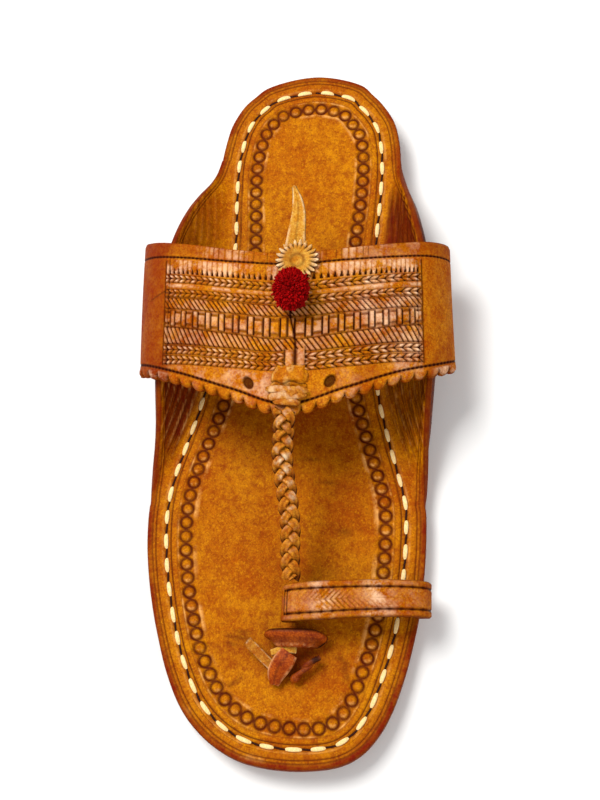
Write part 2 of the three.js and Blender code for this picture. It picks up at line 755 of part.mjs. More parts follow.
// A ball of wool with a tufted surface
function makePompom() {
  const ball = new THREE.SphereGeometry(1, 16, 11);
  ball.deleteAttribute('normal');
  ball.deleteAttribute('uv');
  const merged = dropThin(mergeVertices(ball, 1e-4));
  const position = merged.attributes.position;
  const { across, station } = POMPOM_CENTRE;
  const centre = point(across, station, bandTop(across, station) + MEET_GAP + POMPOM_STAND + POMPOM_SIZE.up);
  for (let index = 0; index < position.count; index += 1) {
    const p = new THREE.Vector3().fromBufferAttribute(position, index);
    const tuft = 1 + 0.05 * Math.sin(9 * p.x + 2) * Math.sin(11 * p.y) + 0.04 * Math.sin(13 * p.z + 1);
    position.setXYZ(
      index,
      centre.x + p.x * POMPOM_SIZE.across * tuft,
      centre.y + p.y * POMPOM_SIZE.along * tuft,
      centre.z + p.z * POMPOM_SIZE.up * tuft,
    );
  }
  return merged;
}

const finishes = {
  sole: { color: 0xb8761f, roughness: 0.7, metalness: 0 },
  footbed: { color: 0xc07a18, roughness: 0.55, metalness: 0 },
  lining: { color: 0x8a4a14, roughness: 0.4, metalness: 0 },
  band: { color: 0xd79a3c, roughness: 0.45, metalness: 0 },
  thong: { color: 0xd9a85a, roughness: 0.5, metalness: 0 },
  knot: { color: 0x9a4a14, roughness: 0.5, metalness: 0 },
  rosette: { color: 0xe8c878, roughness: 0.6, metalness: 0 },
  wool: { color: 0x9c0010, roughness: 1, metalness: 0 },
};

const sandal = new THREE.Group();
function add(name, geometry, finish) {
  geometry.computeVertexNormals();
  const mesh = new THREE.Mesh(geometry, new THREE.MeshStandardMaterial(finishes[finish]));
  mesh.name = name;
  sandal.add(mesh);
}

add('outsole', makeOutsole(), 'sole');
add('heel_lift', makeHeelLift(), 'sole');
add('insole', makeInsole(), 'footbed');
add('wing_lining_lateral', makeLining(-1), 'lining');
add('wing_lining_medial', makeLining(1), 'lining');
add('instep_band', makeBand(), 'band');
add('front_tab', makePatch(frontTab), 'knot');
add('braid_wrap', makePatch(wrapPad), 'rosette');
add('braid', makeBraid(), 'thong');
add('toe_strap', makeStrap(), 'band');
add('toe_post', makePost(), 'knot');
add('thong_end_square', makeThong(squareEnd), 'thong');
add('thong_end_folded', makeThong(foldedEnd), 'knot');
add('thong_end_twisted', makeTwisted(), 'knot');
add('tail_thong', makeThong(tailLine), 'rosette');
add('rosette', makeRosette(), 'rosette');
add('pompom', makePompom(), 'wool');

// The origin is the middle of the sandal's box in X and Y
const box = new THREE.Box3().setFromObject(sandal);
const middle = box.getCenter(new THREE.Vector3());
for (const mesh of sandal.children) mesh.geometry.translate(-middle.x, -middle.y, 0);

export default sandal;
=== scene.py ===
"""Looks of a right-foot kolhapuri sandal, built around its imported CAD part.

Shapes are worked out in millimetres: "x" across (big-toe side positive), "s" the station from the back of
the heel towards the toe, "z" up. place() turns them into the row frame, in metres.
"""

import math

import bpy
import numpy as np
from mathutils import Matrix, Vector


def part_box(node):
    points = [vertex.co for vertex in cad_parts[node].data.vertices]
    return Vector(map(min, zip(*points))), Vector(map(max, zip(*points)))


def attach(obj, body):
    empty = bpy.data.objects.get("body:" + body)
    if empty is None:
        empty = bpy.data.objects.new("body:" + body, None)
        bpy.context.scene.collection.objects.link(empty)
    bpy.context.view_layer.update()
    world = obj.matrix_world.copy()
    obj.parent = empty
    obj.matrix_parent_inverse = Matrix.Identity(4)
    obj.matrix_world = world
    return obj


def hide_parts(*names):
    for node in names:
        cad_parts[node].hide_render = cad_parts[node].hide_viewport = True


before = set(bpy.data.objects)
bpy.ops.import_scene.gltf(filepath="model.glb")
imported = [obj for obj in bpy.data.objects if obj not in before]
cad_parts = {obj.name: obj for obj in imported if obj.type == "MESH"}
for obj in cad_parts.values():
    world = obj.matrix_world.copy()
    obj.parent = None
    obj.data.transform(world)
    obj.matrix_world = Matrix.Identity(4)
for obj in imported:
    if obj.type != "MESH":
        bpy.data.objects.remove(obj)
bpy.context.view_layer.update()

MM = 0.001
LENGTH = 270.0
GAP = 0.3

# Sole layers
LIFT_THICK = 4.6
OUTSOLE_THICK = 4.4
INSOLE_THICK = 3.4
BREAST_STATION = 97.0
BREAST_SLANT = 2.4
HEEL_FLAT_END = 99.0
WAIST_DROP_END = 152.0
TOE_SPRING_START = 222.0
TOE_SPRING_RISE = 3.6
FOOTBED_ROOT = 5.0
SPINE_START = 35.0
SPINE_END = 228.0
WING_EDGE_THICK = 2.4
WING_START = 36.0
WING_END = 176.0
EDGE_BEVEL = 0.9
SLAB_CHANNEL = 0.35
SLAB_COLUMNS = 900

# Stage and light
FLOOR_HALF = 3.0
WORLD_STRENGTH = 0.44

# Insole ornament, as distances in from the root line of the wings
STITCH_PITCH = 9.0
STITCH_LONG = 5.3
STITCH_HALF_WIDE = 0.85
STAMP_INSET = 9.2
STAMP_PITCH = 5.2
STAMP_RADIUS = 2.15
COLUMNS_PER_STAMP = 10

# Instep band
BAND_THICK = 2.4
BAND_CROWN = 1.2
SCALLOP_COUNT = 30
SCALLOP_DEPTH = 2.0
FRAME_HALF = 50.0
PUNCHED_HOLES = (-14.0, 15.4)

# Columns: station, lateral edge, medial edge
SOLE_EDGE = [
    (3.5, -18.4, 19.3), (7.7, -23.6, 23.6), (11.8, -27.6, 27.3), (20, -32, 32.3), (28, -34, 34.3),
    (38, -35.4, 35.2), (52, -35.4, 34.8), (73, -34.4, 33), (95, -35.2, 31.6), (115, -38.2, 32),
    (134, -43.2, 34.6), (150, -48.4, 39), (162, -52.4, 42.8), (175, -55.2, 46.4), (188, -55.4, 46.9),
    (200, -54.2, 46.4), (213, -51.8, 45.2), (225, -48.7, 43), (238, -44.4, 39.8), (250, -38.4, 35.6),
    (258, -31.6, 31.2), (264, -23.6, 25.8), (268, -14.4, 18.4),
]
HEEL_TIP = (1.2, -0.9)
TOE_TIP = (1.8, LENGTH)

# Columns: station, lateral edge, medial edge, rise of that edge above the footbed
WING_EDGE = [
    (38, -36, 35.3, 0), (46, -38.4, 36.4, 3), (54, -41.4, 38.4, 8), (62, -44.2, 40.6, 12.6),
    (72, -47.2, 43, 16.2), (84, -49.9, 45.6, 18.2), (100, -51.8, 48.2, 19), (116, -52.2, 49.2, 19),
    (128, -51.8, 48.8, 18.2), (138, -51.6, 48, 16), (147, -52, 47.4, 12), (155, -53, 47, 7.4),
    (163, -54.3, 46.8, 3.2), (171, -55.2, 46.7, 0.8),
]

# Columns: back edge x, s, z, then front edge x, s, z; rows run from the lateral hem to the medial hem
BAND_EDGE = [
    (-52.4, 84, 20.4, -53, 125.4, 18), (-56.4, 82, 18.8, -56.2, 127.2, 16.8),
    (-59.8, 79, 24.5, -58.4, 129.6, 22.4), (-54.6, 81.5, 34, -53.6, 132.8, 31),
    (-41, 86, 42.4, -40, 138.2, 38.4), (-21, 91, 47.8, -20, 145.6, 43),
    (-1, 93.4, 49.6, -0.6, 151.8, 44.8), (19, 90.6, 47.6, 19.6, 145, 43),
    (36, 86.4, 41.8, 37.6, 137.4, 38), (49.2, 82.5, 33.6, 51.4, 131.8, 30),
    (54.2, 81, 25, 56.6, 127.6, 22), (50.8, 83, 19.2, 54.2, 125.2, 16.6),
    (47, 85, 20.8, 50.8, 123.4, 18.2),
]

# Rows of tooling on the band: kind, then where the row starts and ends at the centre line and at the
# frame's end, as shares of the way from the back edge to the front edge
BAND_ROWS = [
    ("line", 0.055, 0.075, 0.097, 0.119),
    ("teeth", 0.079, 0.173, 0.131, 0.236),
    ("plait", 0.187, 0.246, 0.242, 0.304),
    ("ridge", 0.249, 0.268, 0.308, 0.344),
    ("plait", 0.272, 0.327, 0.351, 0.413),
    ("hatch", 0.335, 0.403, 0.419, 0.498),
    ("ladder", 0.409, 0.542, 0.505, 0.624),
    ("hatch", 0.547, 0.620, 0.631, 0.755),
    ("plait", 0.629, 0.679, 0.765, 0.830),
    ("plait", 0.683, 0.736, 0.837, 0.904),
    ("line", 0.931, 0.955, 0.921, 0.947),
]

# Columns: x, s, z, width
STRAP_LINE = [
    (0.8, 213.6, 9.9, 11), (-2.2, 213.6, 15.5, 12.6), (0.6, 213.6, 20.8, 13.4), (12, 213, 23.4, 13.4),
    (26, 212.2, 24, 13), (39, 211.6, 22.4, 12.8), (47.4, 211.2, 18, 12.6), (48.6, 211, 13.6, 12.2),
    (44.6, 211, 9.9, 11.4),
]
TAIL_LINE = [
    (0.2, 90, 46.2, 8), (0.4, 84, 46.4, 6.6), (0.8, 76, 46, 5.2), (0, 69.5, 45.2, 3.6),
    (-1.6, 63.8, 44.4, 1.2),
]
SQUARE_END = [
    (-6.2, 234.8, 10, 3.5), (-9, 232.4, 10.4, 3.5), (-12.2, 229.4, 11.6, 3.5), (-15.4, 226.4, 13.2, 3.5),
]
FOLDED_END = [
    (0.2, 230.4, 15.2, 6.2), (-1.8, 233.4, 15, 7.4), (-4.2, 237, 13.2, 6.6), (-5.2, 241, 11.2, 2.8),
]
KNOT_FOLD = [
    (-6.4, 230.2, 12.2, 2.2), (-3.4, 229.6, 13.6, 2.6), (0.2, 229.2, 14, 2.6), (2.2, 229.4, 13, 2.2),
]

# Columns: x, s, z
BRAID_LINE = [
    (-0.6, 151.4, 48.7), (-0.7, 154.4, 48.2), (-1.2, 159, 44.2), (-1.9, 167, 38.9), (-0.6, 177, 34),
    (0.6, 188, 29.2), (0.4, 198, 24.8), (0.6, 205.4, 21.6),
]
BRAID_PERIOD = 15.0
BRAID_SIDES = 14
POST_LINE = [
    (-6.6, 224.4, 11.4), (-5.3, 225.2, 15), (1.8, 225.5, 17.2), (8.4, 225.4, 15.4), (11, 226, 11.4),
]
TWISTED_END = [(10.2, 231.6, 12.2), (7.8, 233.4, 12.4), (4.6, 236.4, 12), (2.2, 238.8, 11.4)]

# Cracks in the footbed's surface, as lines from (x, s) to (x, s)
CRACKS = [
    (-26, 224, -13, 222.5), (-24, 226.5, -15, 225), (-30, 252, -17, 238), (19, 230, 20.4, 243),
    (17, 229, 21, 236), (9, 166, 15, 167.5), (13, 181, 19, 187), (3.5, 157, 8, 158),
]

# ---------------------------------------------------------------- curves and small sums


def smooth(value, low, high):
    """A soft ramp from 0 at low to 1 at high."""
    t = np.clip((np.asarray(value, float) - low) / (high - low), 0, 1)
    return t * t * (3 - 2 * t)


def bell(value, centre, width):
    """A soft bump of height 1."""
    return np.exp(-(((np.asarray(value, float) - centre) / width) ** 2))


def curve(points, closed=False, per_span=24):
    """A smooth curve through points, as many close points."""
    p = np.asarray(points, float)
    if closed:
        q = np.vstack([p[-1:], p, p[:2]])
    else:
        q = np.vstack([2 * p[:1] - p[1:2], p, 2 * p[-1:] - p[-2:-1]])
    out = []
    for k in range(len(q) - 3):
        p0, p1, p2, p3 = q[k : k + 4]
        d0, d1, d2 = (max(1e-6, np.linalg.norm(b - a) ** 0.5) for a, b in ((p0, p1), (p1, p2), (p2, p3)))
        m1 = ((p1 - p0) / d0 - (p2 - p0) / (d0 + d1) + (p2 - p1) / d1) * d1
        m2 = ((p2 - p1) / d1 - (p3 - p1) / (d1 + d2) + (p3 - p2) / d2) * d1
        t = np.linspace(0, 1, per_span, endpoint=False)[:, None]
        out.append(p1 + m1 * t + (3 * (p2 - p1) - 2 * m1 - m2) * t**2 + (2 * (p1 - p2) + m1 + m2) * t**3)
    if not closed:
        out.append(p[-1:])
    return np.vstack(out)


def lengths(points):
    """Distance along a list of points."""
    return np.concatenate([[0], np.cumsum(np.linalg.norm(np.diff(points, axis=0), axis=1))])


def resample(points, at, along=None):
    """Points of a polyline at distances along it."""
    along = lengths(points) if along is None else along
    return np.stack([np.interp(at, along, points[:, k]) for k in range(points.shape[1])], axis=-1)


def underside(s):
    """Height of the outsole's lower face, with the waist's drop and the toe spring."""
    s = np.asarray(s, float)
    heel = (LIFT_THICK + GAP) * (1 - smooth(s, HEEL_FLAT_END, WAIST_DROP_END))
    toe = np.maximum(0, (s - TOE_SPRING_START) / (LENGTH - TOE_SPRING_START))
    return heel + TOE_SPRING_RISE * toe**2


def footbed(s):
    """Height of the insole's upper face."""
    return underside(s) + OUTSOLE_THICK + GAP + INSOLE_THICK


def outline(rows):
    """A closed outline as points (x, s), heel first, then the lateral side.

    Also gives each point's side, and the index of the toe's tip.
    """
    lateral = [(r[1], r[0]) for r in rows]
    medial = [(r[2], r[0]) for r in rows][::-1]
    loop = curve([HEEL_TIP, *lateral, TOE_TIP, *medial], closed=True)
    toe = (len(rows) + 1) * 24
    side = np.where(np.arange(len(loop)) <= toe, -1, 1)
    return loop, side, toe


sole_loop, loop_side, toe_index = outline(SOLE_EDGE)
closed_sole = np.vstack([sole_loop, sole_loop[:1]])
insole_rows = (
    [r for r in SOLE_EDGE if r[0] < WING_EDGE[0][0] - 2]
    + [r[:3] for r in WING_EDGE]
    + [r for r in SOLE_EDGE if r[0] > WING_EDGE[-1][0] + 2]
)
wing_loop, _, wing_toe = outline(insole_rows)


def wing_x(s, side):
    """Edge of the insole at a station, on one side."""
    lateral = wing_loop[: wing_toe + 1]
    medial = wing_loop[wing_toe:][::-1]
    a = np.interp(s, lateral[:, 1], lateral[:, 0])
    b = np.interp(s, medial[:, 1], medial[:, 0])
    return np.where(side < 0, a, b)


wing_rise_curve = curve([(20, 0), (30, 0)] + [(r[0], r[3]) for r in WING_EDGE] + [(178, 0), (190, 0)])


def wing_rise(s):
    """How far the insole's edge stands above the footbed at a station."""
    return np.maximum(0, np.interp(s, wing_rise_curve[:, 0], wing_rise_curve[:, 1]))


def spine(loop):
    """The middle line of the sole, at each point's own station."""
    s = np.clip(loop[:, 1], SPINE_START, SPINE_END)
    return np.stack([-4.5 * smooth(s, 120, 170), s], axis=-1)


def inset(loop, distance, share=0.0):
    """The outline moved towards the spine by a distance, or by a share of the way."""
    to = spine(loop) - loop
    reach = np.linalg.norm(to, axis=1, keepdims=True)
    move = np.minimum(1, np.asarray(distance, float).reshape(-1, 1) / reach)
    return loop + to * (move + (1 - move) * share)


# The CAD part's own place for the tables' origin
outsole_low, outsole_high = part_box("outsole")
SHIFT_X = outsole_low.x / MM - sole_loop[:, 0].min()
SHIFT_Y = outsole_high.y / MM - LENGTH / 2


def place(points):
    """Table millimetres (x, s, z) to metres in the row frame."""
    p = np.asarray(points, float).reshape(-1, 3)
    return np.stack([(p[:, 0] + SHIFT_X), LENGTH / 2 - p[:, 1] + SHIFT_Y, p[:, 2]], axis=-1) * MM


# ---------------------------------------------------------------- camera

# About 70 degrees above the floor from the toe end, a little to the big-toe side
VIEW_ELEVATION = math.radians(70)
CAMERA_AT = (64.2, 290.7, 490.0)
FRAME_AIM = (0.5, 138.0, 18.0)
camera_data = bpy.data.cameras.new("camera")
camera_data.sensor_fit = "VERTICAL"
camera_data.sensor_height = 24.0
camera_data.sensor_width = 24.0
camera_data.lens = 40.5
camera_data.clip_start = 0.01
camera = bpy.data.objects.new("camera", camera_data)
bpy.context.scene.collection.objects.link(camera)
camera.location = Vector(place([CAMERA_AT])[0])
view_forward = Vector((0, math.cos(VIEW_ELEVATION), -math.sin(VIEW_ELEVATION)))
view_up = Vector((0, math.sin(VIEW_ELEVATION), math.cos(VIEW_ELEVATION)))
view_right = view_forward.cross(view_up)
view_pose = Matrix((view_right, view_up, -view_forward)).transposed().to_quaternion()
aim = Vector(place([FRAME_AIM])[0]) - camera.location
turn = view_forward.rotation_difference(aim.normalized())
camera.rotation_mode = "QUATERNION"
camera.rotation_quaternion = turn @ view_pose
bpy.context.scene.camera = camera
bpy.context.scene.view_settings.view_transform = "Standard"

# ---------------------------------------------------------------- meshes


def add_piece(name, points, faces, material, replaced=(), marks=None):
    """Makes a mesh from table points, with named per-point marks for its material."""
    mesh = bpy.data.meshes.new(name)
    mesh.from_pydata(place(points).tolist(), [], faces.tolist() if hasattr(faces, "tolist") else faces)
    for key, values in (marks or {}).items():
        mark = mesh.attributes.new(key, "FLOAT", "POINT")
        mark.data.foreach_set("value", np.clip(np.asarray(values, np.float32).ravel(), 0, 1))
    mesh.validate()
    mesh.shade_smooth()
    mesh.materials.append(material)
    piece = bpy.data.objects.new(name, mesh)
    bpy.context.scene.collection.objects.link(piece)
    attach(piece, "root")
    if replaced:
        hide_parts(*replaced)
    return piece


def grid_faces(rows, columns, wrap_rows=False, wrap_columns=False, flip=False):
    """Quads of a grid of points stored row by row."""
    v = np.arange(rows if wrap_rows else rows - 1)
    u = np.arange(columns if wrap_columns else columns - 1)
    v, u = (a.ravel() for a in np.meshgrid(v, u, indexing="ij"))
    v2, u2 = (v + 1) % rows, (u + 1) % columns
    this, next_one = v * columns, v2 * columns
    quads = np.stack([this + u, this + u2, next_one + u2, next_one + u], axis=-1)
    return quads[:, ::-1] if flip else quads


def grid_normals(grid, wrap_columns=False):
    """Unit normals of a grid of points."""
    if wrap_columns:
        along = np.roll(grid, -1, axis=1) - np.roll(grid, 1, axis=1)
    else:
        along = np.gradient(grid, axis=1)
    across = np.gradient(grid, axis=0)
    n = np.cross(along, across)
    return n / np.maximum(1e-9, np.linalg.norm(n, axis=2, keepdims=True))


def tube(centres, half_wide, half_thick, sides=10, up=(0, 0, 1), square=0.0):
    """An oval or squarish tube along centres; returns points and faces."""
    c = np.asarray(centres, float)
    t = np.gradient(c, axis=0)
    t /= np.linalg.norm(t, axis=1, keepdims=True)
    side = np.cross(t, np.broadcast_to(np.asarray(up, float), t.shape))
    side /= np.maximum(1e-9, np.linalg.norm(side, axis=1, keepdims=True))
    normal = np.cross(side, t)
    angle = (np.arange(sides) + 0.5) / sides * 2 * np.pi
    ca, sa = np.cos(angle), np.sin(angle)
    power = 1 - 0.5 * square
    ca, sa = np.sign(ca) * np.abs(ca) ** power, np.sign(sa) * np.abs(sa) ** power
    wide = np.broadcast_to(np.asarray(half_wide, float), (len(c),))
    thick = np.broadcast_to(np.asarray(half_thick, float), (len(c),))
    points = (
        c[:, None]
        + side[:, None] * (wide[:, None, None] * ca[None, :, None])
        + normal[:, None] * (thick[:, None, None] * sa[None, :, None])
    )
    faces = grid_faces(len(c), sides, wrap_columns=True).tolist()
    faces.append(list(range(sides)))
    faces.append(list(range((len(c) - 1) * sides, len(c) * sides))[::-1])
    return points.reshape(-1, 3), faces


def join(parts):
    """Joins (points, faces) pairs into one."""
    points, faces, start = [], [], 0
    for p, f in parts:
        points.append(p)
        faces.extend([[i + start for i in face] for face in f])
        start += len(p)
    return np.vstack(points), faces


# ---------------------------------------------------------------- materials


def node_tree(name):
    """An empty node material with its shader in place."""
    material = bpy.data.materials.new(name)
    material.use_nodes = True
    tree = material.node_tree
    tree.nodes.clear()
    out = tree.nodes.new("ShaderNodeOutputMaterial")
    shader = tree.nodes.new("ShaderNodeBsdfPrincipled")
    tree.links.new(shader.outputs["BSDF"], out.inputs["Surface"])
    return material, tree, shader


def linear(colour):
    """A colour given as 0..255 screen values, as linear light."""
    c = np.asarray(colour, float) / 255
    c = np.where(c <= 0.04045, c / 12.92, ((c + 0.055) / 1.055) ** 2.4)
    return (*c.tolist(), 1.0)


class Paint:
    """Small helpers that add nodes to one material."""

    def __init__(self, tree):
        self.tree = tree
        coords = tree.nodes.new("ShaderNodeTexCoord")
        scale = tree.nodes.new("ShaderNodeVectorMath")
        scale.operation = "SCALE"
        scale.inputs["Scale"].default_value = 1000.0
        tree.links.new(coords.outputs["Object"], scale.inputs[0])
        self.mm = scale.outputs["Vector"]

    def put(self, value, socket):
        if isinstance(value, bpy.types.NodeSocket):
            self.tree.links.new(value, socket)
        else:
            socket.default_value = value

    def stretch(self, factors):
        node = self.tree.nodes.new("ShaderNodeVectorMath")
        node.operation = "MULTIPLY"
        self.tree.links.new(self.mm, node.inputs[0])
        node.inputs[1].default_value = factors
        return node.outputs["Vector"]

    def noise(self, scale, detail=3.0, rough=0.55, vector=None, seed=0.0):
        node = self.tree.nodes.new("ShaderNodeTexNoise")
        node.noise_dimensions = "4D"
        node.inputs["W"].default_value = seed
        node.inputs["Scale"].default_value = scale
        node.inputs["Detail"].default_value = detail
        node.inputs["Roughness"].default_value = rough
        self.tree.links.new(vector or self.mm, node.inputs["Vector"])
        return node.outputs["Fac"]

    def cells(self, scale):
        node = self.tree.nodes.new("ShaderNodeTexVoronoi")
        node.inputs["Scale"].default_value = scale
        self.tree.links.new(self.mm, node.inputs["Vector"])
        return node.outputs["Distance"]

    def span(self, value, low, high, to_low=0.0, to_high=1.0):
        node = self.tree.nodes.new("ShaderNodeMapRange")
        self.put(value, node.inputs["Value"])
        for key, number in (("From Min", low), ("From Max", high), ("To Min", to_low), ("To Max", to_high)):
            node.inputs[key].default_value = number
        return node.outputs["Result"]

    def combine(self, operation, a, b):
        node = self.tree.nodes.new("ShaderNodeMath")
        node.operation = operation
        self.put(a, node.inputs[0])
        self.put(b, node.inputs[1])
        return node.outputs["Value"]

    def mix(self, share, a, b, blend="MIX"):
        node = self.tree.nodes.new("ShaderNodeMix")
        node.data_type = "RGBA"
        node.blend_type = blend
        self.put(share, node.inputs["Factor"])
        self.put(a, node.inputs["A"])
        self.put(b, node.inputs["B"])
        return node.outputs["Result"]

    def mark(self, name):
        node = self.tree.nodes.new("ShaderNodeAttribute")
        node.attribute_name = name
        return node.outputs["Fac"]

    def run_vector(self):
        """Stretched place for streaks that keep to lines of equal "run"."""
        apart = self.tree.nodes.new("ShaderNodeSeparateXYZ")
        self.tree.links.new(self.mm, apart.inputs[0])
        node = self.tree.nodes.new("ShaderNodeCombineXYZ")
        self.put(self.combine("MULTIPLY", self.mark("run"), 45.0), node.inputs["X"])
        self.put(self.combine("MULTIPLY", apart.outputs["Y"], 0.09), node.inputs["Y"])
        self.put(self.combine("MULTIPLY", apart.outputs["X"], 0.02), node.inputs["Z"])
        return node.outputs["Vector"]

    def lay(self, colour, where, amount, tint):
        """Lays a screen-value tint over a colour, by an amount, where a value is high."""
        return self.mix(self.combine("MULTIPLY", where, amount), colour, linear(tint))

    def bump(self, height, strength, distance, shader):
        node = self.tree.nodes.new("ShaderNodeBump")
        node.inputs["Strength"].default_value = strength
        node.inputs["Distance"].default_value = distance
        self.tree.links.new(height, node.inputs["Height"])
        self.tree.links.new(node.outputs["Normal"], shader.inputs["Normal"])


def leather(
    name, main, second, recess, pale, shade,
    rough=0.5, patch=0.07, grain=1.0, specular=0.14, speckle=0.5, coat=0.0,
):
    """Leather with cloudy colour, blotches, pores and fine grain.

    Marks on the piece steer it: "dark" fills recesses, as real dark tooling, seams and cracks and as
    painted shade; "pale" lays a paler colour in patches, as rubbed wear and as painted highlights; "tone"
    darkens whole areas towards the shade colour, as darker leather and as painted shade; "fold" says where
    streaks follow the mark "run".
    """
    material, tree, shader = node_tree(name)
    paint = Paint(tree)
    main, second = np.asarray(main), np.asarray(second)
    cloud = paint.span(paint.noise(patch, 5.0, 0.68), 0.38, 0.62)
    colour = paint.mix(cloud, linear(main), linear(second))
    blotch = paint.span(paint.noise(patch * 5.5, 5.0, 0.75, seed=3.0), 0.47, 0.62)
    colour = paint.lay(colour, blotch, 0.7, second * (0.84, 0.7, 0.6))
    pores = paint.span(paint.noise(1.7, 3.0, 0.8, seed=5.0), 0.48, 0.62)
    colour = paint.lay(colour, pores, speckle, main * (0.6, 0.42, 0.3))
    glint = paint.span(paint.noise(1.3, 3.0, 0.75, seed=9.0), 0.52, 0.66)
    brushed = paint.span(paint.noise(0.9, 3.0, 0.7, paint.stretch((0.75, 0.35, 0.5)), seed=12.0), 0.5, 0.68)
    colour = paint.lay(colour, brushed, 0.4, second * (0.8, 0.6, 0.5))
    gold = np.minimum(255, main * 1.2 + (14, 22, 10))
    colour = paint.lay(colour, glint, 0.32, gold)
    tone = paint.combine("MULTIPLY", paint.mark("tone"), paint.span(blotch, 0, 1, 0.82, 1.0))
    colour = paint.mix(tone, colour, linear(shade))
    streak = paint.span(paint.noise(1.0, 3.0, 0.6, paint.run_vector()), 0.42, 0.6)
    fold = paint.combine("MULTIPLY", paint.mark("fold"), streak)
    colour = paint.lay(colour, fold, 0.75, recess)
    ridge = paint.span(paint.noise(0.16, 5.0, 0.75, seed=8.0), 0.44, 0.6)
    colour = paint.mix(paint.combine("MULTIPLY", paint.mark("pale"), ridge), colour, linear(pale))
    colour = paint.mix(paint.mark("dark"), colour, linear(recess))
    tree.links.new(colour, shader.inputs["Base Color"])
    tree.links.new(paint.span(cloud, 0, 1, rough - 0.06, rough + 0.08), shader.inputs["Roughness"])
    shader.inputs["Specular IOR Level"].default_value = specular
    if coat:
        shader.inputs["Coat Weight"].default_value = coat
        shader.inputs["Coat Roughness"].default_value = 0.25
    fine = paint.noise(3.0, 3.0, 0.7, seed=2.0)
    grainy = paint.combine("ADD", fine, paint.combine("MULTIPLY", paint.cells(2.4), 0.4))
    grainy = paint.combine("SUBTRACT", grainy, paint.combine("MULTIPLY", fold, 1.5))
    paint.bump(grainy, 0.5 * grain, 0.00032, shader)
    return material


def wool(name, main, deep):
    """Matt dyed wool, darker between its fibres as painted shade."""
    material, tree, shader = node_tree(name)
    paint = Paint(tree)
    strand = paint.span(paint.noise(0.9, 4.0, 0.7), 0.3, 0.7)
    colour = paint.mix(strand, linear(deep), linear(main))
    tree.links.new(colour, shader.inputs["Base Color"])
    shader.inputs["Roughness"].default_value = 0.9
    shader.inputs["Specular IOR Level"].default_value = 0.05
    paint.bump(paint.noise(5.0, 2.0, 0.7, seed=4.0), 0.5, 0.0002, shader)
    return material


def waxed(name, main, deep):
    """Waxed thread, with the fine slant of its twist."""
    material, tree, shader = node_tree(name)
    paint = Paint(tree)
    fibres = paint.noise(1.4, 3.0, 0.6, paint.stretch((3.0, 0.8, 3.0)))
    colour = paint.mix(paint.span(fibres, 0.35, 0.7), linear(main), linear(deep))
    tree.links.new(colour, shader.inputs["Base Color"])
    shader.inputs["Roughness"].default_value = 0.5
    shader.inputs["Specular IOR Level"].default_value = 0.1
    paint.bump(fibres, 0.5, 0.0002, shader)
    return material


footbed_leather = leather(
    "footbed_leather", main=(204, 126, 0), second=(174, 86, 0), recess=(76, 16, 0), pale=(244, 176, 96),
    shade=(116, 18, 0), patch=0.06, specular=0.04, speckle=0.62,
)
sole_leather = leather(
    "sole_leather", main=(196, 112, 6), second=(170, 86, 2), recess=(60, 18, 0), pale=(232, 160, 70),
    shade=(100, 38, 10), rough=0.65, patch=0.04, grain=1.6, specular=0.04,
)
lining_leather = leather(
    "lining_leather", main=(122, 50, 10), second=(88, 30, 6), recess=(36, 8, 0), pale=(200, 110, 50),
    shade=(60, 16, 4), rough=0.35, patch=0.09, specular=0.22, coat=0.1,
)
band_leather = leather(
    "band_leather", main=(216, 136, 14), second=(184, 88, 0), recess=(46, 6, 0), pale=(252, 208, 168),
    shade=(126, 36, 0), rough=0.55, patch=0.12, specular=0.03, speckle=0.6, grain=1.3,
)
tab_leather = leather(
    "tab_leather", main=(208, 130, 12), second=(180, 92, 2), recess=(56, 12, 0), pale=(240, 192, 110),
    shade=(120, 46, 6), patch=0.2, specular=0.05,
)
thong_leather = leather(
    "thong_leather", main=(220, 142, 34), second=(186, 98, 8), recess=(64, 16, 0), pale=(246, 220, 180),
    shade=(120, 46, 4), rough=0.5, patch=0.25, specular=0.06,
)
wrap_leather = leather(
    "wrap_leather", main=(204, 138, 46), second=(176, 92, 12), recess=(56, 12, 0), pale=(240, 206, 160),
    shade=(120, 50, 8), patch=0.3, specular=0.05,
)
knot_leather = leather(
    "knot_leather", main=(188, 86, 8), second=(134, 42, 2), recess=(24, 2, 0), pale=(240, 172, 110),
    shade=(66, 8, 0), rough=0.42, patch=0.3, specular=0.12,
)
rosette_leather = leather(
    "rosette_leather", main=(218, 164, 66), second=(200, 128, 22), recess=(58, 18, 0), pale=(250, 222, 180),
    shade=(160, 86, 10), rough=0.6, patch=0.35, speckle=0.3, specular=0.05,
)
red_wool = wool("red_wool", (196, 10, 10), (108, 0, 2))
cream_thread = waxed("cream_thread", (255, 232, 176), (238, 186, 100))
# dark strands in the running stitch's gaps, as painted shade of the channel's slits
channel_shade_strand = waxed("channel_shade_strand", (58, 16, 4), (30, 6, 2))

# ---------------------------------------------------------------- outsole and heel lift


# Columns: distance in from the edge, darkness (painted shade in the channel's groove), share of the
# channel's depth
CHANNEL_ROWS = [
    (1.8, 0.0, 0), (2.9, 0.0, 0), (3.5, 0.25, 0.12), (3.8, 0.7, 1), (4.1, 0.25, 0.12), (4.7, 0.0, 0),
    (7.0, 0.0, 0),
]


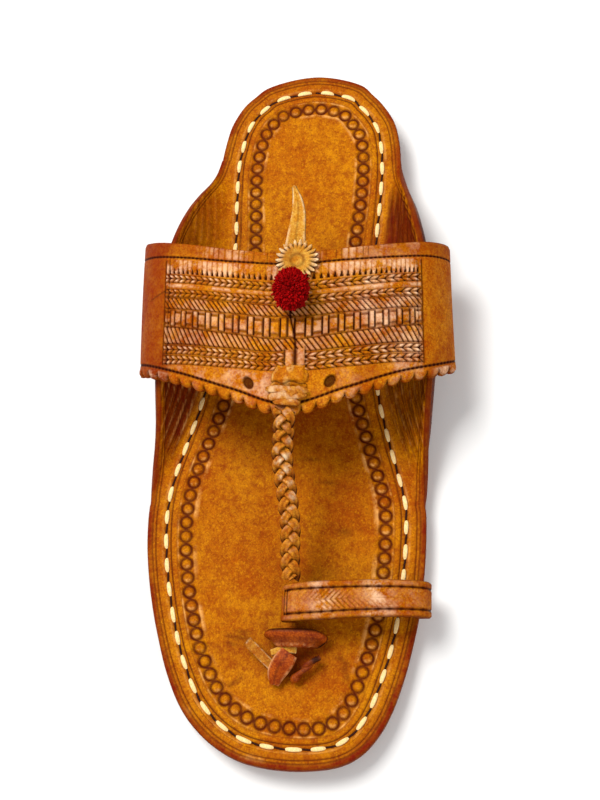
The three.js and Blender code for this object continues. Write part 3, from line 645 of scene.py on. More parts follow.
def slab_rings(low, high):
    """Rings of a layer of sole leather, from the spine on top, round the edge, to the spine below."""
    around = lengths(closed_sole)[-1]
    loop = resample(closed_sole, np.linspace(0, around, SLAB_COLUMNS, endpoint=False))
    rings, dark, tone = [], [], []

    def add(distance, share, height, trim, darkening, shadow=0.0):
        plan = inset(loop, distance, share)
        z = height(plan[:, 1]) + trim
        rings.append(np.column_stack([plan, z]))
        dark.append(np.full(len(plan), darkening))
        tone.append(np.full(len(plan), shadow))

    for share in (1.0, 0.5, 0.1):
        add(3, share, high, 0, 0.0)
    add(1.6, 0, high, 0, 0.2, 0.3)
    for step in range(5):
        a = step / 4 * math.pi / 2
        add(EDGE_BEVEL * (1 - math.sin(a)), 0, high, -EDGE_BEVEL * (1 - math.cos(a)), 0.15, 0.85)
    for share in (0.25, 0.5, 0.75):
        z = (high(loop[:, 1]) - EDGE_BEVEL) * (1 - share) + (low(loop[:, 1]) + EDGE_BEVEL) * share
        ripple = 0.12 * np.sin(share * 40 + loop[:, 1] * 0.3)
        rings.append(np.column_stack([inset(loop, np.abs(ripple)), z]))
        dark.append(np.full(len(loop), 0.1))
        tone.append(np.full(len(loop), 0.9))
    for step in range(5):
        a = (4 - step) / 4 * math.pi / 2
        add(EDGE_BEVEL * (1 - math.sin(a)), 0, low, EDGE_BEVEL * (1 - math.cos(a)), 0.1, 0.8 - 0.1 * step)
    # the channel's groove is darkened as painted shade
    for distance, darkening, deep in CHANNEL_ROWS:
        add(distance, 0, low, SLAB_CHANNEL * deep, darkening, 0.25 if distance < 2 else 0.0)
    for share in (0.15, 0.35, 0.6, 0.8, 1.0):
        add(7, share, low, 0, 0.0)
    return np.array(rings), np.array(dark), np.array(tone)


def make_outsole():
    """The full-length sole, with a channel cut round its underside."""
    rings, dark, tone = slab_rings(underside, lambda s: underside(s) + OUTSOLE_THICK)
    faces = grid_faces(rings.shape[0], rings.shape[1], wrap_columns=True, flip=True)
    add_piece(
        "outsole_leather", rings, faces, sole_leather, ["outsole"],
        {"dark": dark, "tone": tone},
    )


def make_lift():
    """The heel's one lift, cut off at its slanted breast."""
    rings, dark, tone = slab_rings(np.zeros_like, lambda s: np.full_like(s, LIFT_THICK))
    limit = BREAST_STATION + BREAST_SLANT * (1 - rings[..., 2] / LIFT_THICK)
    over = rings[..., 1] > limit
    rings[..., 1] = np.where(over, limit, rings[..., 1])
    x_low = np.interp(limit, *side_edges(-1))
    x_high = np.interp(limit, *side_edges(1))
    rings[..., 0] = np.where(over, np.clip(rings[..., 0], x_low + 0.4, x_high - 0.4), rings[..., 0])
    # the breast face is painted darker as shade
    breast = smooth(rings[..., 1], BREAST_STATION - 1.2, BREAST_STATION)
    faces = grid_faces(rings.shape[0], rings.shape[1], wrap_columns=True, flip=True)
    add_piece(
        "heel_lift_leather", rings, faces, sole_leather, ["heel_lift"],
        {"dark": dark, "tone": np.maximum(tone, 0.8 * breast)},
    )


def side_edges(side):
    """Stations and x of one side of the sole."""
    part = sole_loop[: toe_index + 1] if side < 0 else sole_loop[toe_index:][::-1]
    return part[:, 1], part[:, 0]


# ---------------------------------------------------------------- insole with its wings

EDGE_ROWS = np.array([0.0, 0.35, 0.7, 1.05, 1.4, 1.75, 2.1, 2.45, 2.8, 3.15, 3.5, 3.9])
OUTER_ROWS = 22
DENSE_END = 12.6
DENSE_STEP = 0.45
INNER_SHARES = (0.05, 0.12, 0.22, 0.34, 0.5, 0.7, 1.0)
# Depth given to all of the plain field inside the dense rows
FIELD_DEPTH = 60.0


def stitch_depth(s):
    """How far inside the root line the running stitch lies."""
    return 1.9 - 1.7 * bell(s, 112, 42)


def insole_columns():
    """Outline points, with their sides, at which the insole has its cross-sections.

    They are evenly spaced along the stamped chain, with a whole number of stamps.
    """
    sides = np.append(loop_side, 1)
    chain = inset(closed_sole, FOOTBED_ROOT + STAMP_INSET)
    along = lengths(chain)
    stamps = int(round(along[-1] / STAMP_PITCH))
    count = stamps * COLUMNS_PER_STAMP
    at = (np.arange(count) + 0.5) / count * along[-1]
    edge = resample(closed_sole, at, along)
    side = np.where(np.interp(at, along, sides) < 0, -1, 1)
    return edge, side


def insole_grid():
    """The insole's middle surface with its thickness, row by row from the edge to the spine.

    Also gives each point's depth inside the root line of the wings and its distance from the edge, and each
    column's rise, side and outline point.
    """
    edge, side = insole_columns()
    count = len(edge)
    s = edge[:, 1]
    rim_x = wing_x(s, side)
    winged = (s > WING_START) & (s < WING_END)
    rim = np.where(winged[:, None], np.column_stack([rim_x, s]), edge)
    root = inset(edge, FOOTBED_ROOT)
    rise = wing_rise(s) * winged
    hinge = root + (rim - root) * 0.55
    w = np.linspace(1, 0, 41)[:, None]
    plan = (
        hinge[None] * (2 * w * (1 - w))[..., None]
        + root[None] * ((1 - w) ** 2)[..., None]
        + rim[None] * (w**2)[..., None]
    )
    lift = rise[None] * w**2
    thick_mix = w * np.minimum(1, rise / 8)[None]
    thick = INSOLE_THICK + (WING_EDGE_THICK - INSOLE_THICK) * thick_mix
    fine = np.concatenate([plan, (footbed(plan[..., 1]) - thick / 2 + lift)[..., None]], axis=2)
    span = np.concatenate(
        [np.zeros((1, count)), np.cumsum(np.linalg.norm(np.diff(fine, axis=0), axis=2), axis=0)], axis=0
    )
    total = span[-1]
    rows = []
    for k in range(len(EDGE_ROWS) + OUTER_ROWS):
        if k < len(EDGE_ROWS):
            rows.append(np.minimum(EDGE_ROWS[k], total * 0.7 * (k + 1) / len(EDGE_ROWS)))
        else:
            start = np.minimum(EDGE_ROWS[-1], total * 0.7)
            share = (k - len(EDGE_ROWS) + 1) / OUTER_ROWS
            rows.append(start + (total - start) * share)
    from_edge = np.array(rows)
    outer = np.empty((len(rows), count, 4))
    stacked = np.concatenate([fine, thick[..., None]], axis=2)
    for c in range(count):
        for k in range(4):
            outer[:, c, k] = np.interp(from_edge[:, c], span[:, c], stacked[:, c, k])
    depth = [row - total for row in rows]
    inner = []

    def flat_row(plan):
        level = footbed(plan[:, 1]) - INSOLE_THICK / 2
        return np.column_stack([plan, level, np.full(count, INSOLE_THICK)])

    inward = np.arange(DENSE_STEP, DENSE_END, DENSE_STEP)
    for d in inward:
        inner.append(flat_row(inset(edge, FOOTBED_ROOT + d)))
        depth.append(np.full(count, d))
        from_edge = np.vstack([from_edge, total + d])
    for share in INNER_SHARES:
        inner.append(flat_row(inset(edge, FOOTBED_ROOT + inward[-1], share)))
        depth.append(np.full(count, FIELD_DEPTH))
        from_edge = np.vstack([from_edge, total + FIELD_DEPTH])
    grid = np.concatenate([outer, np.array(inner)], axis=0)
    return grid, np.array(depth), from_edge, rise, side, edge


def wave(a, b, seed):
    """A gentle unevenness made of a few slow waves."""
    r = np.random.default_rng(seed)
    total = 0
    for _ in range(5):
        fa, fb = r.uniform(0.02, 0.16, 2)
        total = total + np.sin(a * fa * r.choice([-1, 1]) + b * fb + r.uniform(0, 6.28))
    return total / 5


def make_insole():
    """The footbed and its wings; returns its underside, normals, outline points and their sides."""
    grid, depth, from_edge, rise, side, edge = insole_grid()
    middle, thick = grid[..., :3], grid[..., 3]
    n = grid_normals(middle, wrap_columns=True)
    n = np.where(n[..., 2:] < 0, -n, n)
    flat = depth >= 0
    n[flat] = (0, 0, 1)
    rows, columns = depth.shape
    x, s = middle[..., 0], middle[..., 1]
    height = np.zeros((rows, columns))
    dark = np.zeros((rows, columns))
    pale = np.zeros((rows, columns))
    tone = np.zeros((rows, columns))

    # two tooled lines near the edge
    for at, deep in ((1.6, 0.16), (2.9, 0.2)):
        line = bell(from_edge, at, 0.26)
        height -= deep * line
        dark += 0.85 * line
    # the channel of the running stitch, darkened as painted shade, and the line inside it
    st = stitch_depth(s)
    channel = bell(depth, st, 0.75)
    height -= 0.45 * channel
    dark += 0.6 * channel
    inner_line = bell(depth, st + 1.75, 0.3)
    height -= 0.4 * inner_line
    dark += 0.95 * inner_line
    pale += 0.35 * bell(depth, st - 1.25, 0.45)

    # the chain of ring stamps, with painted highlights inside each ring's lit side and along the chain's
    # flanks
    chain = inset(edge, FOOTBED_ROOT + STAMP_INSET)
    stamp = np.arange(columns) // COLUMNS_PER_STAMP
    middle_column = stamp * COLUMNS_PER_STAMP + COLUMNS_PER_STAMP // 2
    centre = (chain[middle_column] + chain[(middle_column - 1) % columns]) / 2
    off = np.stack([x - centre[None, :, 0], s - centre[None, :, 1]], axis=-1)
    r = np.linalg.norm(off, axis=-1)
    ring = bell(r, STAMP_RADIUS, 0.6)
    near = (depth > STAMP_INSET - 3.4) & (depth < STAMP_INSET + 3.3)
    ring = np.where(near, ring, 0)
    strike = 0.94 + 0.07 * np.sin(stamp * 2.4)[None]
    height -= 0.6 * ring * strike
    dark += 1.1 * ring * strike
    dome = np.where(near, np.clip(1 - (r / (STAMP_RADIUS - 0.3)) ** 2, 0, 1), 0)
    height += 0.28 * dome
    lit_side = smooth(off[..., 1] / np.maximum(r, 0.1), 0.1, 0.8)
    pale += np.where(near, 0.9 * bell(r, STAMP_RADIUS - 0.95, 0.42) * lit_side, 0)
    flank = np.where(near, bell(np.abs(depth - STAMP_INSET), 2.9, 0.32) * smooth(r, 2.4, 3.0), 0)
    pale += 0.9 * flank * smooth(wave(x * 2.6, s * 2.6, 61), -0.35, 0.25)
    dark += np.where(near, 0.35 * bell(np.abs(depth - STAMP_INSET), 3.4, 0.25), 0)
    height += 0.1 * flank

    # wrinkles of the bent wings, with painted shade in their troughs and painted highlights on their
    # crests;
    # painted shade over the lateral wing ahead of the band, the medial wing behind it and both wings under
    # it
    wing = smooth(rise, 2, 12)[None] * smooth(-depth, 1.0, 5.0)
    lateral = side[None] < 0
    behind = 1 - smooth(s, 84, 100)
    wrinkle_at = -depth * 1.15 + 1.6 * wave(s * 1.4, x * 0.4, 11) + 0.02 * (s - 100)
    wrinkle = np.sin(wrinkle_at * 1.5 + np.sin(s * 0.11) * 1.2)
    amount = wing * (0.35 + 0.65 * smooth(wave(s, depth * 2, 5), -0.4, 0.5)) * (1 - 0.6 * lateral * behind)
    height += 0.34 * amount * wrinkle
    dark += 0.5 * amount * smooth(-wrinkle, 0.35, 1.0)
    pale += 0.3 * amount * smooth(wrinkle, 0.5, 1.0) * (side[None] < 0)
    ahead = smooth(s, 118, 132)
    rim_band = smooth(from_edge, 1.2, 3.4)
    tone += wing * rim_band * np.where(lateral, 0.95 * ahead, 0.9 * behind)
    tone += 0.3 * wing * (1 - behind) * (1 - ahead)
    pale += 0.35 * wing * ahead * smooth(wrinkle, 0.6, 1.0)
    dark += 0.3 * wing * behind * ~lateral

    # burnished border, darker towards the toe's big-toe side
    border = smooth(-depth, -1.0, 2.5) * (1 - smooth(rise, 1, 6))[None]
    tone += border * (0.16 + 0.34 * smooth(s, 215, 262) * smooth(x, -20, 40))
    scuffed = 0.55 + 0.45 * smooth(wave(s * 2.2, x * 2.4, 51), -0.4, 0.3)
    tone += 0.95 * scuffed * (1 - smooth(from_edge, 0.2, 2.2)) * (1 - smooth(rise, 1, 6))[None]

    toe_scuff = smooth(s, 236, 250) * smooth(-x, 4, 14) * smooth(wave(s * 3, x * 3, 77), -0.1, 0.4)
    pale += 0.7 * toe_scuff * bell(from_edge, 1.9, 0.9)
    run = np.clip(-depth / 40, 0, 1)
    strength = np.where(lateral, 0.15 * behind + 0.95 * (1 - behind), 0.9)
    brim = 0.35 * smooth(-depth, -3.5, -1.0) * (1 - smooth(from_edge, -1, 1.2))
    fold = np.clip(wing * rim_band * strength + brim, 0, 1)

    # soft use: hollows of the heel and ball, a darker ball and a darker blotch beside the knot; painted
    # shade under the band, the strap and the knot, and the braid's painted shadow
    tone += 0.42 * bell(s, 130, 28) * smooth(depth, 2, 14) + 0.16 * bell(s, 224, 16) * bell(x, -2, 22)
    tone += 0.12 * bell(s, 188, 26) * smooth(depth, 8, 14)
    tone += 0.16 * bell(x - 12 + 0.3 * (s - 180), 0, 4.5) * bell(s, 180, 17) * smooth(depth, 12, 18)
    under_knot = np.hypot((x - 2) / 1.5, s - 231)
    beside_knot = np.hypot(x + 21, s - 231.5)
    tone += 0.75 * bell(under_knot, 0, 8.5) + 0.3 * bell(beside_knot, 0, 6)
    height += 0.18 * wave(x * 1.3, s * 1.1, 3) * (depth > 14)
    heel_hollow = 0.35 * bell(s, 40, 26) * smooth(depth, 13, 30)
    height -= heel_hollow + 0.3 * bell(s, 190, 26) * smooth(depth, 13, 40)

    height[-1] = height[-1].mean()
    top = middle + n * (thick / 2 + height)[..., None]
    top[-1, :, 2] = top[-2, :, 2]
    bottom = middle - n * (thick / 2)[..., None]

    # rounded edge, then the underside
    rim_rows, rim_dark = [], []
    out_dir = middle[0] - middle[1]
    out_dir /= np.maximum(1e-9, np.linalg.norm(out_dir, axis=1, keepdims=True))
    for step in range(1, 8):
        a = math.pi * step / 8
        half = thick[0] / 2
        bulge = 0.55 * math.sin(a) ** 0.7
        rim_rows.append(middle[0] + n[0] * (half * math.cos(a))[:, None] + out_dir * bulge)
        rim_dark.append(0.5 if step in (2, 5) else 0.25)
    # cracks of dry leather
    for x0, s0, x1, s1 in CRACKS:
        long = math.hypot(x1 - x0, s1 - s0)
        t = ((x - x0) * (x1 - x0) + (s - s0) * (s1 - s0)) / long**2
        off = ((x - x0) * (s1 - s0) - (s - s0) * (x1 - x0)) / long + 0.7 * np.sin(t * 7)
        crack = bell(off, 0, 0.9) * smooth(t, 0, 0.15) * (1 - smooth(t, 0.8, 1)) * (depth > 14)
        dark += 0.5 * crack
    under = bottom[[0, 10, 18, 26, 34, 50, rows - 1]]
    shape = np.concatenate([top[::-1], np.array(rim_rows), under], axis=0)
    rim_blank = np.zeros((len(rim_rows), columns))
    under_blank = np.zeros((len(under), columns))

    def whole(on_top, on_rim=0.0, below=0.0):
        """A mark over the whole piece, from the spine over the edge to the underside."""
        return np.concatenate([on_top[::-1], rim_blank + on_rim, under_blank + below], axis=0)

    marks = {
        "dark": whole(dark, np.array(rim_dark)[:, None]),
        "pale": whole(pale),
        "tone": whole(tone, 0.85, 0.5),
        "run": whole(run),
        "fold": whole(fold),
    }
    faces = grid_faces(shape.shape[0], columns, wrap_columns=True, flip=True)
    add_piece("insole_leather", shape, faces, footbed_leather, ["insole"], marks)
    return bottom, n, edge, side


def make_stitches():
    """The running stitch of waxed thread round the footbed, with a dark strand in each gap as painted shade
    of the channel's slits.
    """
    path = inset(closed_sole, FOOTBED_ROOT + stitch_depth(closed_sole[:, 1]))
    along = lengths(path)
    count = int(round(along[-1] / STITCH_PITCH))
    r = np.random.default_rng(21)
    cream, dark = [], []
    for k in range(count):
        start = (k + 0.2) / count * along[-1] + r.uniform(-0.25, 0.25)
        long = STITCH_LONG * r.uniform(0.92, 1.08)
        t = np.linspace(0, 1, 11)
        plan = resample(path, np.minimum(start + t * long, along[-1]), along)
        skew = r.uniform(-0.15, 0.15)
        plan[:, 0] += skew * (t - 0.5)
        z = footbed(plan[:, 1]) - 0.42 + 0.62 * np.sin(np.pi * t) ** 0.45
        fat = 0.45 + 0.55 * np.sin(np.pi * t) ** 0.4
        cream.append(tube(np.column_stack([plan, z]), STITCH_HALF_WIDE * fat, 0.42 * fat, 8, square=0.5))
        # a dark strand across the gap, as painted shade of the slit in the channel
        t = np.linspace(0, 1, 6)
        gap = along[-1] / count - long
        plan = resample(path, np.minimum(start + long - 0.3 + t * (gap + 0.6), along[-1]), along)
        across = np.stack([-np.gradient(plan[:, 1]), np.gradient(plan[:, 0])], axis=-1)
        across /= np.maximum(1e-9, np.linalg.norm(across, axis=1, keepdims=True))
        plan = plan + across * (0.55 * (t - 0.5))[:, None]
        z = footbed(plan[:, 1]) - 0.55 + 0.18 * np.sin(np.pi * t)
        dark.append(tube(np.column_stack([plan, z]), 0.42, 0.3, 6))
    points, faces = join(cream)
    add_piece("running_stitch", points, faces, cream_thread)
    points, faces = join(dark)
    add_piece("stitch_channel_shade", points, faces, channel_shade_strand)


# ---------------------------------------------------------------- wing linings


def make_linings(bottom, n, edge, side):
    """Soft padded linings that hang under the wings, from near their rims to the sole."""
    under_rows = [0, 6, 11, 14, 16, 18, 20, 22]
    for sign, name in ((-1, "lateral"), (1, "medial")):
        columns = np.where((side == sign) & (edge[:, 1] > 52) & (edge[:, 1] < 156))[0]
        order = columns[np.argsort(edge[columns, 1])][::3]
        sheet = bottom[under_rows][:, order]
        normal = n[under_rows][:, order]
        outer = sheet[1] * 0.6 + sheet[2] * 0.4
        limit = edge[order, 0] + sign * 2.6
        inner = np.empty_like(outer)
        for c in range(len(order)):
            xs = sign * sheet[:, c, 0]
            for k in range(3):
                inner[c, k] = np.interp(-sign * limit[c], -xs, sheet[:, c, k])
        share = np.linspace(0, 1, 25)[:, None]
        at = edge[order, 1]
        along = (at - at[0]) / (at[-1] - at[0])
        puff = 2.6 * np.sin(np.pi * share) ** 0.9 * (0.35 + 0.65 * np.sin(np.pi * along))[None]
        puff = puff * (1 + 0.05 * np.sin(at * 0.9)[None])
        puff = puff + 0.12 * np.sin(at * 0.55)[None] * np.sin(np.pi * share)
        down = -normal[3]
        middle = inner[None] * (1 - share)[..., None] + outer[None] * share[..., None]
        outside = middle + down[None] * (GAP + 0.35 + 1.8 + puff)[..., None]
        inside = middle + down[None] * (GAP + 0.35 + puff * 0.6)[..., None]
        loop = np.concatenate([outside, inside[::-1]], axis=0)
        seam = np.concatenate([bell(share, 0.93, 0.03), 0 * share[::-1]], axis=0) * np.ones((1, len(order)))
        pinch = down[None] * (-0.3 * bell(share, 0.93, 0.03))[..., None]
        loop = loop + np.concatenate([pinch, 0 * inside], axis=0)
        faces = grid_faces(loop.shape[0], len(order), wrap_rows=True, flip=sign > 0)
        lining = add_piece(
            f"wing_lining_{name}_leather", loop, faces, lining_leather,
            [f"wing_lining_{name}"], {"dark": seam},
        )


# ---------------------------------------------------------------- instep band


def band_edges():
    """Back and front edges of the band's middle surface, from the lateral hem to the medial hem."""
    rows = np.asarray(BAND_EDGE, float)
    back = curve(rows[:, :3], per_span=40)
    front = curve(rows[:, 3:], per_span=40)
    return back, front


band_back, band_front = band_edges()
band_t = np.linspace(0, 1, len(band_back))


def band_point(t, v):
    """A point of the middle surface at t, from hem to hem, and v, from the back edge to the front edge."""
    back = np.stack([np.interp(t, band_t, band_back[:, k]) for k in range(3)], axis=-1)
    front = np.stack([np.interp(t, band_t, band_front[:, k]) for k in range(3)], axis=-1)
    v = np.asarray(v, float)[..., None]
    p = back + (front - back) * v
    p[..., 2] += BAND_CROWN * np.sin(np.pi * v[..., 0]) * np.sin(np.pi * t)
    return p


def pattern_row(kind, a, b, half):
    """Relief of one row of tooling: height in mm, darkness and paleness, the paleness a painted highlight
    on raised parts.

    a is the distance from the centre line in mm, b runs from 0 at the row's back to 1 at its front.
    """
    inside = smooth(b, -0.06, 0.08) * (1 - smooth(b, 0.92, 1.06))
    zero = np.zeros_like(a)
    if kind == "line":
        groove = np.sin(np.pi * np.clip(b, 0, 1)) * inside
        beads = 0.75 + 0.25 * np.sin(a * 3.6)
        return -0.4 * groove * beads, 1.7 * groove * beads, zero
    if kind == "ridge":
        dome = np.sin(np.pi * np.clip(b, 0, 1)) * inside
        return 0.26 * dome, zero, 0.65 * dome
    if kind == "teeth":
        count = np.where(a < 0, np.abs(a) / 2.1, (np.abs(a) + 0.009 * a * a) / 3.2)
        f = np.abs((count % 1) - 0.5)
        edge = 0.5 - 0.3 * np.clip((b - 0.5) / 0.5, 0, 1)
        gap = smooth(f, edge - 0.06, edge + 0.07) * smooth(b, 0.5, 0.66) * inside
        notch = smooth(f, 0.4, 0.5) * inside * (1 - smooth(b, 0.45, 0.6)) * 0.55
        body = (1 - gap) * inside
        glow = 0.6 * body * (1 - smooth(f, 0.25, 0.5))
        return 0.26 * body - 0.5 * gap - 0.25 * notch, 1.2 * gap + 0.6 * notch, glow
    if kind == "plait":
        away = np.abs(b - 0.5)
        phase = np.where(a < 0, (-a - 3.6 * away) / 2.5, (a - 4.6 * away) / 3.2)
        f = phase % 1
        gap = (1 - smooth(f, 0.0, 0.24)) + smooth(f, 0.8, 1.0)
        gap = np.clip(0.9 * gap + 0.75 * bell(away, 0.0, 0.07) + bell(away, 0.5, 0.09), 0, 1) * inside
        body = (1 - gap) * inside
        glow = bell(f, 0.55, 0.22) * bell(away, 0.25, 0.16)
        return 0.38 * body - 0.38 * gap, 1.1 * gap, 1.0 * glow * inside
    if kind == "hatch":
        f = ((a - 3.4 * b) / 2.0) % 1
        gap = (1 - smooth(np.abs(f - 0.5), 0.08, 0.24)) * inside
        edge = (bell(b, 0.0, 0.05) + bell(b, 1.0, 0.05)) * 0.8
        gap = np.clip(gap + edge, 0, 1)
        body = (1 - gap) * inside
        return 0.28 * body - 0.32 * gap, 0.95 * gap, 0.3 * body
    # ladder: tall bars with a block between each two
    share = np.abs(a) / half
    f = (7.8 * share + 1.2 * share**2) % 1
    bar = smooth(f, 0.03, 0.09) * (1 - smooth(f, 0.31, 0.37))
    block = smooth(f, 0.44, 0.5) * (1 - smooth(f, 0.9, 0.96))
    tall = smooth(b, 0.02, 0.08) * (1 - smooth(b, 0.92, 0.98))
    short = smooth(b, 0.2, 0.26) * (1 - smooth(b, 0.74, 0.8))
    ends = (1 - smooth(b, 0.06, 0.14)) + smooth(b, 0.86, 0.94)
    body = np.clip(bar * tall + block * short + 0.6 * block * ends, 0, 1) * inside
    gap = (1 - body) * inside
    beyond = block * (1 - short)
    return 0.32 * body - 0.34 * gap, gap * (1 - 0.5 * beyond), 0.4 * body


def band_relief(a, v, half):
    """Relief, darkness, paleness and tone over the whole band."""
    share = np.clip(np.abs(a) / half, 0, 1.3)
    height = np.zeros_like(a)
    dark = np.zeros_like(a)
    pale = np.zeros_like(a)
    framed = 1 - smooth(np.abs(a), half - 0.5, half + 0.3)
    for kind, c0, c1, e0, e1 in BAND_ROWS:
        low = c0 + (e0 - c0) * share
        high = c1 + (e1 - c1) * share
        b = (v - low) / (high - low)
        hit = (b > -0.3) & (b < 1.3)
        h, d, p = pattern_row(kind, a, b, half)
        keep = hit * (1.0 if kind == "line" else framed)
        height += h * keep
        dark += d * keep
        pale += p * keep
    # frame lines at the ends of the tooling
    top = 0.079 + (0.131 - 0.079) * share
    foot = 0.736 + (0.904 - 0.736) * share
    within = smooth(v, top, top + 0.01) * (1 - smooth(v, foot, foot + 0.01))
    for at, strength in ((half + 0.4, 1.0), (half - 1.6, 0.6)):
        line = bell(np.abs(a), at, 0.32) * within * strength
        height -= 0.3 * line
        dark += 0.9 * line
    # margins: the turned back edge, the scalloped front border and the middle of the plain field catch the
    # light, laid on as painted highlights
    centre_share = 1 - smooth(np.abs(a), half * 0.75, half * 1.02)
    back_margin = 1 - smooth(v, 0.05, 0.08 + 0.03 * share)
    ticks = np.abs((a + 0.6 * np.sin(a * 0.41)) / 2.3 % 1 - 0.5) * 2
    inner = 1 - smooth(np.abs(a), half * 0.55, half * 0.8)
    wear_and_highlight_patches = smooth(wave(a * 3, v * 20, 9), -0.35, 0.3)
    pale += back_margin * inner * 0.45 * smooth(ticks, 0.1, 0.5) * wear_and_highlight_patches
    tick_line = back_margin * inner * (1 - smooth(ticks, 0.02, 0.16))
    dark += 0.6 * tick_line
    height -= 0.12 * tick_line
    front_margin = smooth(v, 0.95, 0.965)
    pale += 0.7 * front_margin * smooth(wave(a * 2.2, v * 30, 71), -0.1, 0.5)
    plain = smooth(v, foot, foot + 0.02) * (1 - smooth(v, 0.92, 0.935))
    pale += 0.45 * plain * centre_share * smooth(wave(a * 2, v * 50, 29), -0.4, 0.4)
    # seam of thread along the centre, with a pair of small blocks at its foot that carry painted highlights
    seam_at = 0.7 + 2.2 * smooth(v, 0.36, 0.6)
    seam = bell(a, seam_at, 0.42) * smooth(v, 0.35, 0.37) * (1 - smooth(v, 0.69, 0.71))
    height -= 0.35 * seam
    dark += 1.1 * seam
    beside = np.abs(a - 2.9)
    box = (1 - smooth(beside, 3.1, 3.5)) * smooth(v, 0.612, 0.622) * (1 - smooth(v, 0.715, 0.725))
    split = bell(beside, 0.0, 0.8)
    height = np.where(box > 0.5, 0.42 - 0.7 * split, height)
    dark = dark * (1 - box) + box * split
    pale = pale * (1 - box) + 0.45 * box * (1 - split)
    rim = bell(beside, 3.6, 0.3) * smooth(v, 0.605, 0.615) * (1 - smooth(v, 0.72, 0.73))
    dark += 0.7 * rim
    height -= 0.25 * rim
    # two punched holes in the plain field, only dents, painted dark as the shade inside a hole
    front_span = 56.0
    for x0 in PUNCHED_HOLES:
        r = np.hypot(a - x0, (v - 0.868) * front_span)
        hole = 1 - smooth(r, 1.8, 2.15)
        lip = bell(r, 2.5, 0.4)
        height -= 0.7 * hole - 0.12 * lip
        dark = dark * (1 - hole) + 0.86 * hole
        pale *= 1 - hole
        dark += 0.4 * bell(r, 2.15, 0.3)
    tone = 0.35 * back_margin + smooth(np.abs(a), half * 0.85, half * 1.1) * np.where(a < 0, 0.62, 0.3)
    # painted shade over the lateral half of the band
    tone = tone + 0.25 * smooth(-a, half * 0.35, half * 0.9)
    # painted highlight over the medial half of the tooling
    pale += 0.3 * framed * smooth(a, 5, 30) * smooth(wave(a * 2, v * 60, 73), -0.3, 0.3)
    tone = tone + 0.3 * smooth(wave(a * 1.6, v * 70, 41), 0.1, 0.5)
    return height, dark, pale, tone


front_run = lengths(band_front)


def scallop_phase(t):
    """Place within a scallop, from 0 to 1; the scallops are all of one width along the front edge."""
    return np.interp(t, band_t, front_run / front_run[-1]) * SCALLOP_COUNT % 1


def scallop(t):
    """How far the front edge stands out at t, as lobes with sharp notches."""
    return SCALLOP_DEPTH * (np.sin(np.pi * scallop_phase(t)) ** 0.55 - 0.5)


BAND_COLUMNS = 470
BAND_TOP_ROWS = 186


def make_band():
    """The broad instep band, with its tooling, scallops, turned hems and underside."""
    fine = band_point(band_t, np.full_like(band_t, 0.5))
    run = lengths(fine)
    crown = np.interp(0.5, band_t, run)
    t = np.interp(np.linspace(0, run[-1], BAND_COLUMNS), run, band_t)
    a = np.interp(t, band_t, run) - crown
    v = np.linspace(0, 1, BAND_TOP_ROWS)
    vv, tt = np.meshgrid(v, t, indexing="ij")
    aa = np.broadcast_to(a, vv.shape)
    middle = band_point(tt, vv)
    middle[..., 1] += scallop(tt) * smooth(vv, 0.955, 1.0) ** 1.1
    n = grid_normals(middle)
    n *= np.sign(n[:, BAND_COLUMNS // 2, 2].mean())
    height, dark, pale, tone = band_relief(aa, vv, FRAME_HALF)
    # pinked border: a small trough between lobes
    notch = (np.abs(scallop_phase(tt) - 0.5) * 2) ** 4 * smooth(vv, 0.955, 0.985)
    height += 0.25 * smooth(vv, 0.955, 0.975) * (1 - smooth(vv, 0.985, 1.0)) - 0.6 * notch
    dark += 0.85 * notch + 0.45 * smooth(vv, 0.992, 1.0)
    # soft unevenness and a scratch on the plain lateral end
    height += 0.22 * wave(aa * 1.4, vv * 40, 14)
    scratch = bell(vv * 60 + (aa + 59) * 0.62 - 27.5, 0, 0.35)
    dark += 0.7 * (scratch * smooth(-aa, 48, 50) * (1 - smooth(-aa, 57, 60)))
    edge_trim = 0.55 * (bell(vv, 0, 0.008) + bell(vv, 1, 0.008))
    top = middle + n * (BAND_THICK / 2 + height - edge_trim)[..., None]
    under_at = [BAND_TOP_ROWS - 1, 130, 90, 50, 0]
    bottom = middle[under_at] - n[under_at] * (BAND_THICK / 2)
    out = np.zeros_like(middle[0])
    out[:, 1] = 1.0
    front_rows, back_rows = [], []
    for step in range(1, 6):
        angle = math.pi * step / 6
        half = BAND_THICK / 2 * math.cos(angle) * 0.85
        push = 0.35 * math.sin(angle)
        front_rows.append(middle[-1] + n[-1] * half + out * push)
        back_rows.append(middle[0] - n[0] * half - out * push)
    shape = np.concatenate([top, np.array(front_rows), bottom, np.array(back_rows)], axis=0)
    edge_tone = np.full((5, BAND_COLUMNS), 0.8)
    under_tone = np.full((5, BAND_COLUMNS), 0.9)
    marks = {
        "dark": np.concatenate([dark, 0.2 * edge_tone, 0.1 * under_tone, 0.2 * edge_tone], axis=0),
        "pale": np.concatenate([pale, 0 * edge_tone, 0 * under_tone, 0 * edge_tone], axis=0),
        "tone": np.concatenate([tone, edge_tone, under_tone, edge_tone], axis=0),
    }
    faces = grid_faces(shape.shape[0], BAND_COLUMNS, wrap_rows=True)
    add_piece("instep_band_leather", shape, faces, band_leather, ["instep_band"], marks)


def band_top(x, s):
    """Height of the band's outer face near its centre line."""
    _, back_s, back_z, _, front_s, front_z = BAND_EDGE[6]
    share = np.clip((s - back_s) / (front_s - back_s), -0.1, 1.1)
    crown = BAND_CROWN * np.sin(np.pi * np.clip(share, 0, 1))
    return back_z + (front_z - back_z) * share + crown - x * x / 225 + BAND_THICK / 2


# ---------------------------------------------------------------- ornament and knots


